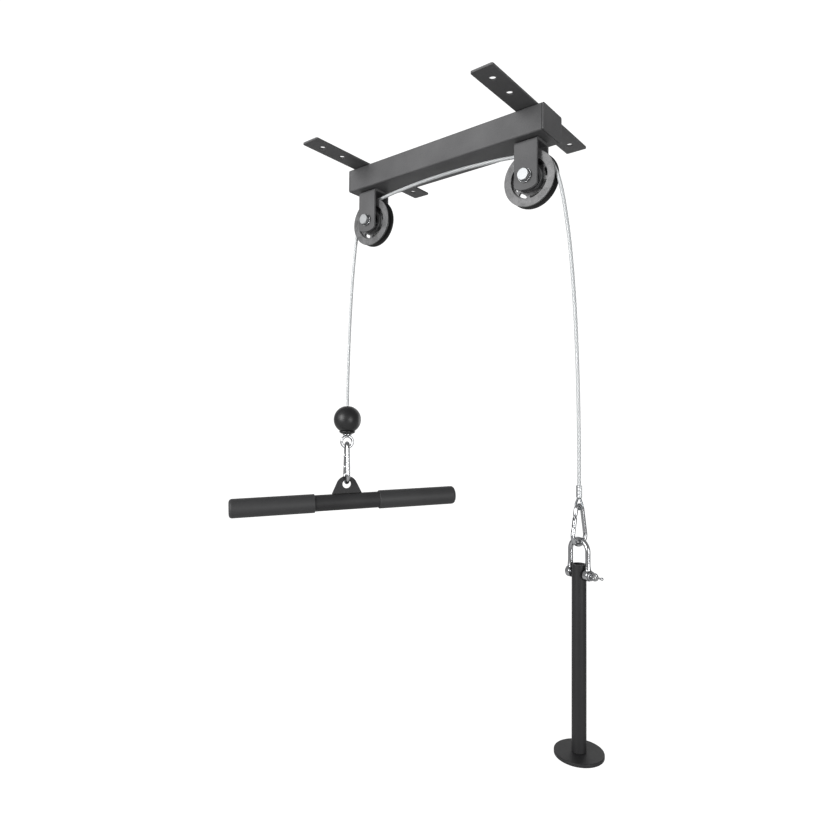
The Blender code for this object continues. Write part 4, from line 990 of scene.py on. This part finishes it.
class HookShape:
    def __init__(self, length, wire, narrow, wide):
        self.wire, self.r = wire, wire / 2
        self.top_radius, self.low_radius = (narrow - wire) / 2, (wide - wire) / 2
        self.low = -length + self.r
        self.top_centre = -self.r - self.top_radius
        self.low_centre = self.low + self.low_radius
        self.lean = asin((self.low_radius - self.top_radius) / (self.top_centre - self.low_centre))
        self.upper, self.lower = self.on_leg(-1, GATE_FROM), self.on_leg(-1, 1 - GATE_FROM)
        self.down = (self.lower - self.upper).normalized()
        self.pivot = self.upper + self.down * (self.r + 0.4 * MM)

    def on_leg(self, sign, share):
        a = self.lean
        start, end = (Vector((0, sign * r * cos(a), z + r * sin(a))) for r, z in
                      ((self.top_radius, self.top_centre), (self.low_radius, self.low_centre)))
        return start.lerp(end, share)


def tongue(start, end, thickness, half_width, round_end=False):
    # A flat bar in the hook's plane from start to end.
    along = (end - start).normalized()
    across = along.cross(AXES["X"])
    outline = [start - across * half_width, start + across * half_width]
    if round_end:
        outline += [end + across * half_width * cos(a) + along * half_width * sin(a)
                    for a in [pi * k / 16 for k in range(17)]]
    else:
        outline += [end + across * half_width, end - across * half_width]
    outline = [(p.y, p.z) for p in outline]
    return sawn("tongue", outline, -thickness / 2, thickness / 2, "X", BRIGHT_ZINC)


def hook_body(name, hook):
    a = hook.lean
    over = arc((0, hook.top_centre), hook.top_radius, pi - a, a, 28)
    under = arc((0, hook.low_centre), hook.low_radius, a, -pi - a, 40)
    leg = [hook.on_leg(1, s / 8) for s in range(1, 8)]
    upper_run = [hook.on_leg(-1, GATE_FROM * (1 - s / 4)) for s in range(4)]
    lower_run = [hook.on_leg(-1, 1 - GATE_FROM * s / 4) for s in range(1, 5)]
    route = upper_run + [Vector((0, w, v)) for w, v in over] + leg
    route += [Vector((0, w, v)) for w, v in under] + lower_run
    radii = [hook.r] * len(route)
    radii[0] = radii[-1] = hook.r * 0.82
    body = swept(name + "_wire", route, radii, BRIGHT_ZINC)
    thin, width = hook.wire * TONGUE_SHARE, hook.r * 0.75
    first = tongue(hook.upper - hook.down * hook.r * 0.5, hook.pivot, thin, width, True)
    nose_top = hook.lower - hook.down * (GATE_GAP + hook.r * 1.1)
    second = tongue(hook.lower + hook.down * hook.r * 0.5, nose_top, thin, width)
    return one_piece(name, [body, ease_edges(first, 0.25 * MM, 2), ease_edges(second, 0.25 * MM, 2)])


def hook_rivet(name, hook):
    r, half = hook.wire * 0.18, hook.r
    head = [(0, -half - 0.25 * MM), (r * 0.9, -half - 0.22 * MM), (r * 1.5, -half + 0.25 * MM),
            (r, -half + 0.3 * MM)]
    return turned(name, eased(head + flipped(head), 0.15 * MM), "X", BRIGHT_ZINC, 36)


def hook_gate(name, hook):
    # Drawn with the rivet at the origin and the gate running down the leg.
    r = hook.r
    last = hook.lower - hook.down * GATE_GAP - hook.pivot
    turns = [radians(a) for a in (80, 62, 44, 26, 12)]
    route = [-hook.down * r * sin(a) for a in turns] + [last * s for s in (0, 0.25, 0.5, 0.75, 0.98, 1)]
    radii = [r * cos(a) for a in turns] + [r] * 5 + [r * 0.9]
    gate = swept(name, route, radii, BRIGHT_ZINC)
    gap, width = hook.wire * TONGUE_SHARE + LINK_GAP, 1.3 * r
    upper = tongue(-hook.down * 2 * r, hook.down * (r * 0.75 + LINK_GAP), gap, width)
    lower = tongue(last + hook.down * r, last - hook.down * (r * 1.1 + LINK_GAP), gap, width)
    combined(combined(gate, upper, "DIFFERENCE"), lower, "DIFFERENCE")
    return ease_edges(gate, 0.2 * MM, 2, 50)


def hang_hook(label, hook, where):
    spot = where @ Matrix.Translation(hook.pivot)
    label += "_hook"
    in_place(hook_body(label + "_bent", hook), label, at=where)
    in_place(hook_rivet(label + "_rivet_set", hook), label + "_rivet", at=spot)
    in_place(hook_gate(label + "_gate_formed", hook), label + "_gate", at=spot)


big_hook = HookShape(80 * MM, 8 * MM, 25 * MM, 38 * MM)
hook_top = EYE_CENTRE - EYE_RADIUS + EYE_WIRE + LINK_GAP + big_hook.wire
EYE_POST, HALF_TURN = HANDLE_POST @ HANDLE_TURN, Matrix.Rotation(pi, 4, "Z")
hang_hook("handle", big_hook, EYE_POST @ lifted(hook_top) @ HALF_TURN)

# %% [markdown]
# The bar handle is a steel tube with a laser-cut lug welded on top and a rubber grip pushed over each
# end. The lug has a broad round head, set lower than the hook's hole, and straight flanks. On its
# single hook the bar hangs two degrees out of level.

# %% Bar, lug and grips
LUG_HOLE, LUG_HEAD, LUG_HALF = 8 * MM, 20 * MM, 2.5 * MM
LUG_HEIGHT, BAR_RADIUS = 32.5 * MM, 15 * MM
BAR_AT = EYE_POST @ lifted(hook_top + big_hook.low) @ Matrix.Rotation(radians(-2), 4, "Y")
HOLE_Z = big_hook.r + LINK_GAP - LUG_HOLE
HEAD_Z = HOLE_Z - 5 * MM
BAR_Z = HEAD_Z + LUG_HEAD - LUG_HEIGHT - BAR_RADIUS
tube = turned("bar_tube_drawn", eased(ring_section(13, 15, -207, 207), 0.3 * MM), "X", HANDLE_COAT)
in_place(tube, "bar_tube", at=BAR_AT @ lifted(BAR_Z))


def lug_outline():
    # The straight flanks touch the round head where its radius stands square to them.
    base, foot = 28 * MM, BAR_Z + BAR_RADIUS + SEAT_GAP
    drop = HEAD_Z - foot
    angle = atan2(-drop, base) + acos(LUG_HEAD / hypot(base, drop))
    return arc((0, HEAD_Z), LUG_HEAD, angle, pi - angle, 44) + [(-base, foot), (base, foot)]


lug = sawn("bar_lug_cut", lug_outline(), -LUG_HALF, LUG_HALF, "Y", HANDLE_COAT)
drill(lug, (0, 0, HOLE_Z), LUG_HOLE, "Y")
in_place(ease_edges(lug, 0.6 * MM), "bar_lug", at=BAR_AT)


def grip(side, sign):
    outer, inner, end = 17.25, 15.15, 211.3
    corner = arc((outer - 6, end - 6), 6, 0, pi / 2, 16)
    section = [(inner, end - 151), (outer - 0.8, end - 151), (outer, end - 150.2)] + corner
    section += [(0, end), (0, end - 4), (inner, end - 4)]
    section = in_mm(*((r, sign * x) for r, x in section))
    return turned(side + "_grip_moulded", section, "X", GRIP_RUBBER)


for side, sign in SIDES:
    in_place(grip(side, sign), side + "_grip", at=BAR_AT @ lifted(BAR_Z))

# %% [markdown]
# At the weight end the bare rope is turned back on itself in a small eye, held by an oval ferrule
# that a hand press has squeezed in three places, 0.15 mm deep: a shallow dent is all that shows.

# %% Ferrule and rope loop
SLEEVE_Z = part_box("crimp_sleeve")[1].z
SLEEVE_LENGTH, LOOP_LOW, LOOP_WIRE = 17 * MM, -34.5 * MM, 1.6 * MM
WEIGHT_POST = Matrix.Translation((WEIGHT_X, 0, SLEEVE_Z)) @ Matrix.Rotation(radians(-18), 4, "Z")


def pressed_ferrule():
    bm = bmesh.new()
    rings = []
    for k in range(69):
        z = -SLEEVE_LENGTH * k / 68
        edge = min(-z, z + SLEEVE_LENGTH)
        trim = 0.6 * MM * max(0.0, 1 - edge / (0.8 * MM)) ** 2
        squeeze = sum(max(0.0, 1 - abs(z + c * MM) / (1.7 * MM)) for c in (3.6, 8.5, 13.4))
        wide = 4.6 * MM - trim
        thick = 3.5 * MM - trim - 0.15 * MM * min(1.0, 1.6 * squeeze)
        rings.append([bm.verts.new((wide * u, thick * v, z)) for u, v in circle(1.0, 48)])
    walled(bm, rings)
    return finished("ferrule_pressed", bm, PRESSED_ZINC, 50)


ferrule = pressed_ferrule()
drill(ferrule, (0, 0, 4.6 * MM), 3.05 * MM, "Z", 10.6 * MM)
in_place(ferrule, "crimp_sleeve", at=WEIGHT_POST)


def loop_route():
    # In mm below the sleeve's top.
    start, radius = 1.9, 5.9
    centre = -34.5 + 1.6 + radius
    turn_round = arc((0, centre), radius, radians(270 - 100), radians(270 + 100), 7)
    leg = [(start, -17 * s) for s in (0.62, 0.85, 1.02)]
    knots = [(-x, z) for x, z in leg] + turn_round + list(reversed(leg))
    return flowing([(x * MM, 0, z * MM) for x, z in knots], 0.5 * MM)


route = loop_route()
loop = laid_rope("rope_loop_bare", route, length_along(route), LOOP_WIRE, 6, 13 * MM, 0.15, BARE_ROPE, 48)
in_place(loop, "cable_loop", at=WEIGHT_POST)
small_hook = HookShape(60 * MM, 6 * MM, 19 * MM, 31 * MM)
small_top = LOOP_LOW + 2 * LOOP_WIRE + LINK_GAP + small_hook.wire
hang_hook("weight", small_hook, WEIGHT_POST @ lifted(small_top))

# %% [markdown]
# The shackle is forged: a round bow that swells into two flat ears, drilled for a screw pin with a
# collar, an eye to turn it by and a short tail. It is made in the forging's own steps: wire first,
# then ears, and the pin is turned with its eye set on the end.

# %% Shackle
SHACKLE_AT = WEIGHT_POST @ lifted(small_top + small_hook.low)
BOW_WIRE = 3.5 * MM
BOW_Z = small_hook.r + LINK_GAP + BOW_WIRE
SHACKLE_PIN_Z = BOW_Z - 46.5 * MM


def forged_bow():
    leg = 15.5 * MM
    centre = BOW_Z - leg
    ear_z = SHACKLE_PIN_Z + 4.7 * MM
    side_run = [(leg, ear_z + (centre - ear_z) * k / 10) for k in range(10)]
    route = side_run + arc((0, centre), leg, 0, pi, 44) + [(-x, z) for x, z in reversed(side_run)]
    radii = [BOW_WIRE + 1.0 * MM * max(0.0, 1 - (z - ear_z) / (9 * MM)) for _, z in route]
    bow = swept("shackle_bow_forged", [(x, 0, z) for x, z in route], radii, BRIGHT_ZINC)
    for sign in (-1, 1):
        section = in_mm((0, sign * 11.7), (7.8, sign * 11.7), (7.8, sign * 19.3), (0, sign * 19.3))
        ear = turned("ear", eased(section, 1.2 * MM), "X", BRIGHT_ZINC, 56)
        ear.data.transform(lifted(SHACKLE_PIN_Z))
        combined(bow, ear, "UNION")
    return drill(bow, (0, 0, SHACKLE_PIN_Z), 4.3 * MM, "X")


def screw_pin():
    section = in_mm((0, -20.8), (3.4, -20.8), (4.0, -20.2), (4.0, 19.6), (6.6, 19.6), (6.6, 22.0),
                    (6.2, 22.4), (2.4, 22.4), (2.4, 24.6), (0, 24.6))
    body = turned("pin_body", eased(section, 0.5 * MM), "X", BRIGHT_ZINC, 64)
    tab = sawn("pin_tab", circle(5.5 * MM, 56, (27.3 * MM, 0)), -1.7 * MM, 1.7 * MM, "Y", BRIGHT_ZINC)
    ease_edges(drill(tab, (27.9 * MM, 0, 0), 2.1 * MM, "Y"), 0.7 * MM, 3)
    tail = in_mm((32.2, 1.5), (33.0, 1.2), (36.4, 1.2), (37.6, 1.5), (38.6, 2.0), (39.6, 2.1), (40.6, 1.75),
                 (41.2, 1.0), (41.4, 0.3))
    tail = swept("pin_tail", [(x, 0, 0) for x, _ in tail], [r for _, r in tail], BRIGHT_ZINC, 24)
    pin = one_piece("shackle_pin_turned", [body, tab, tail])
    pin.data.transform(lifted(SHACKLE_PIN_Z))
    return pin


in_place(forged_bow(), "shackle_bow", at=SHACKLE_AT)
in_place(screw_pin(), "shackle_pin", at=SHACKLE_AT)

# %% [markdown]
# The loading pin is a thick-walled tube, cross drilled at the top for the shackle's pin and welded to
# a round plate at the foot, which holds up the weight plates. Its open rim and dark bore show, so it
# is a real tube and not a closed rod.

# %% Loading pin
PIN_AT = SHACKLE_AT @ lifted(SHACKLE_PIN_Z)
TUBE_TOP, TUBE_LOW = 12.7, 12.7 - 255
post = eased(ring_section(7, 10, TUBE_LOW, TUBE_TOP), 0.5 * MM)
post = turned("loading_tube_sawn", post, "Z", BLACK_COAT)
drill(post, (0, 0, 0), 4.6 * MM, "X")
in_place(post, "loading_pin_tube", at=PIN_AT)
plate = eased(ring_section(0, 34, TUBE_LOW - 5.3, TUBE_LOW - 0.3), 1.0 * MM)
plate = turned("loading_disc_turned", plate, "Z", BLACK_COAT, 128)
in_place(plate, "loading_disc", at=PIN_AT)

# %% [markdown]
# The visual model has to keep the CAD model's size, so both boxes are measured and their difference is
# printed.

# %% Sizes and finish
visual_box = [[float(x) for x in corner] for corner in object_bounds()]
off = [round((b - a) / MM, 2) for p, q in zip(cad_box, visual_box) for a, b in zip(p, q)]
print("box differs by", off, "mm")
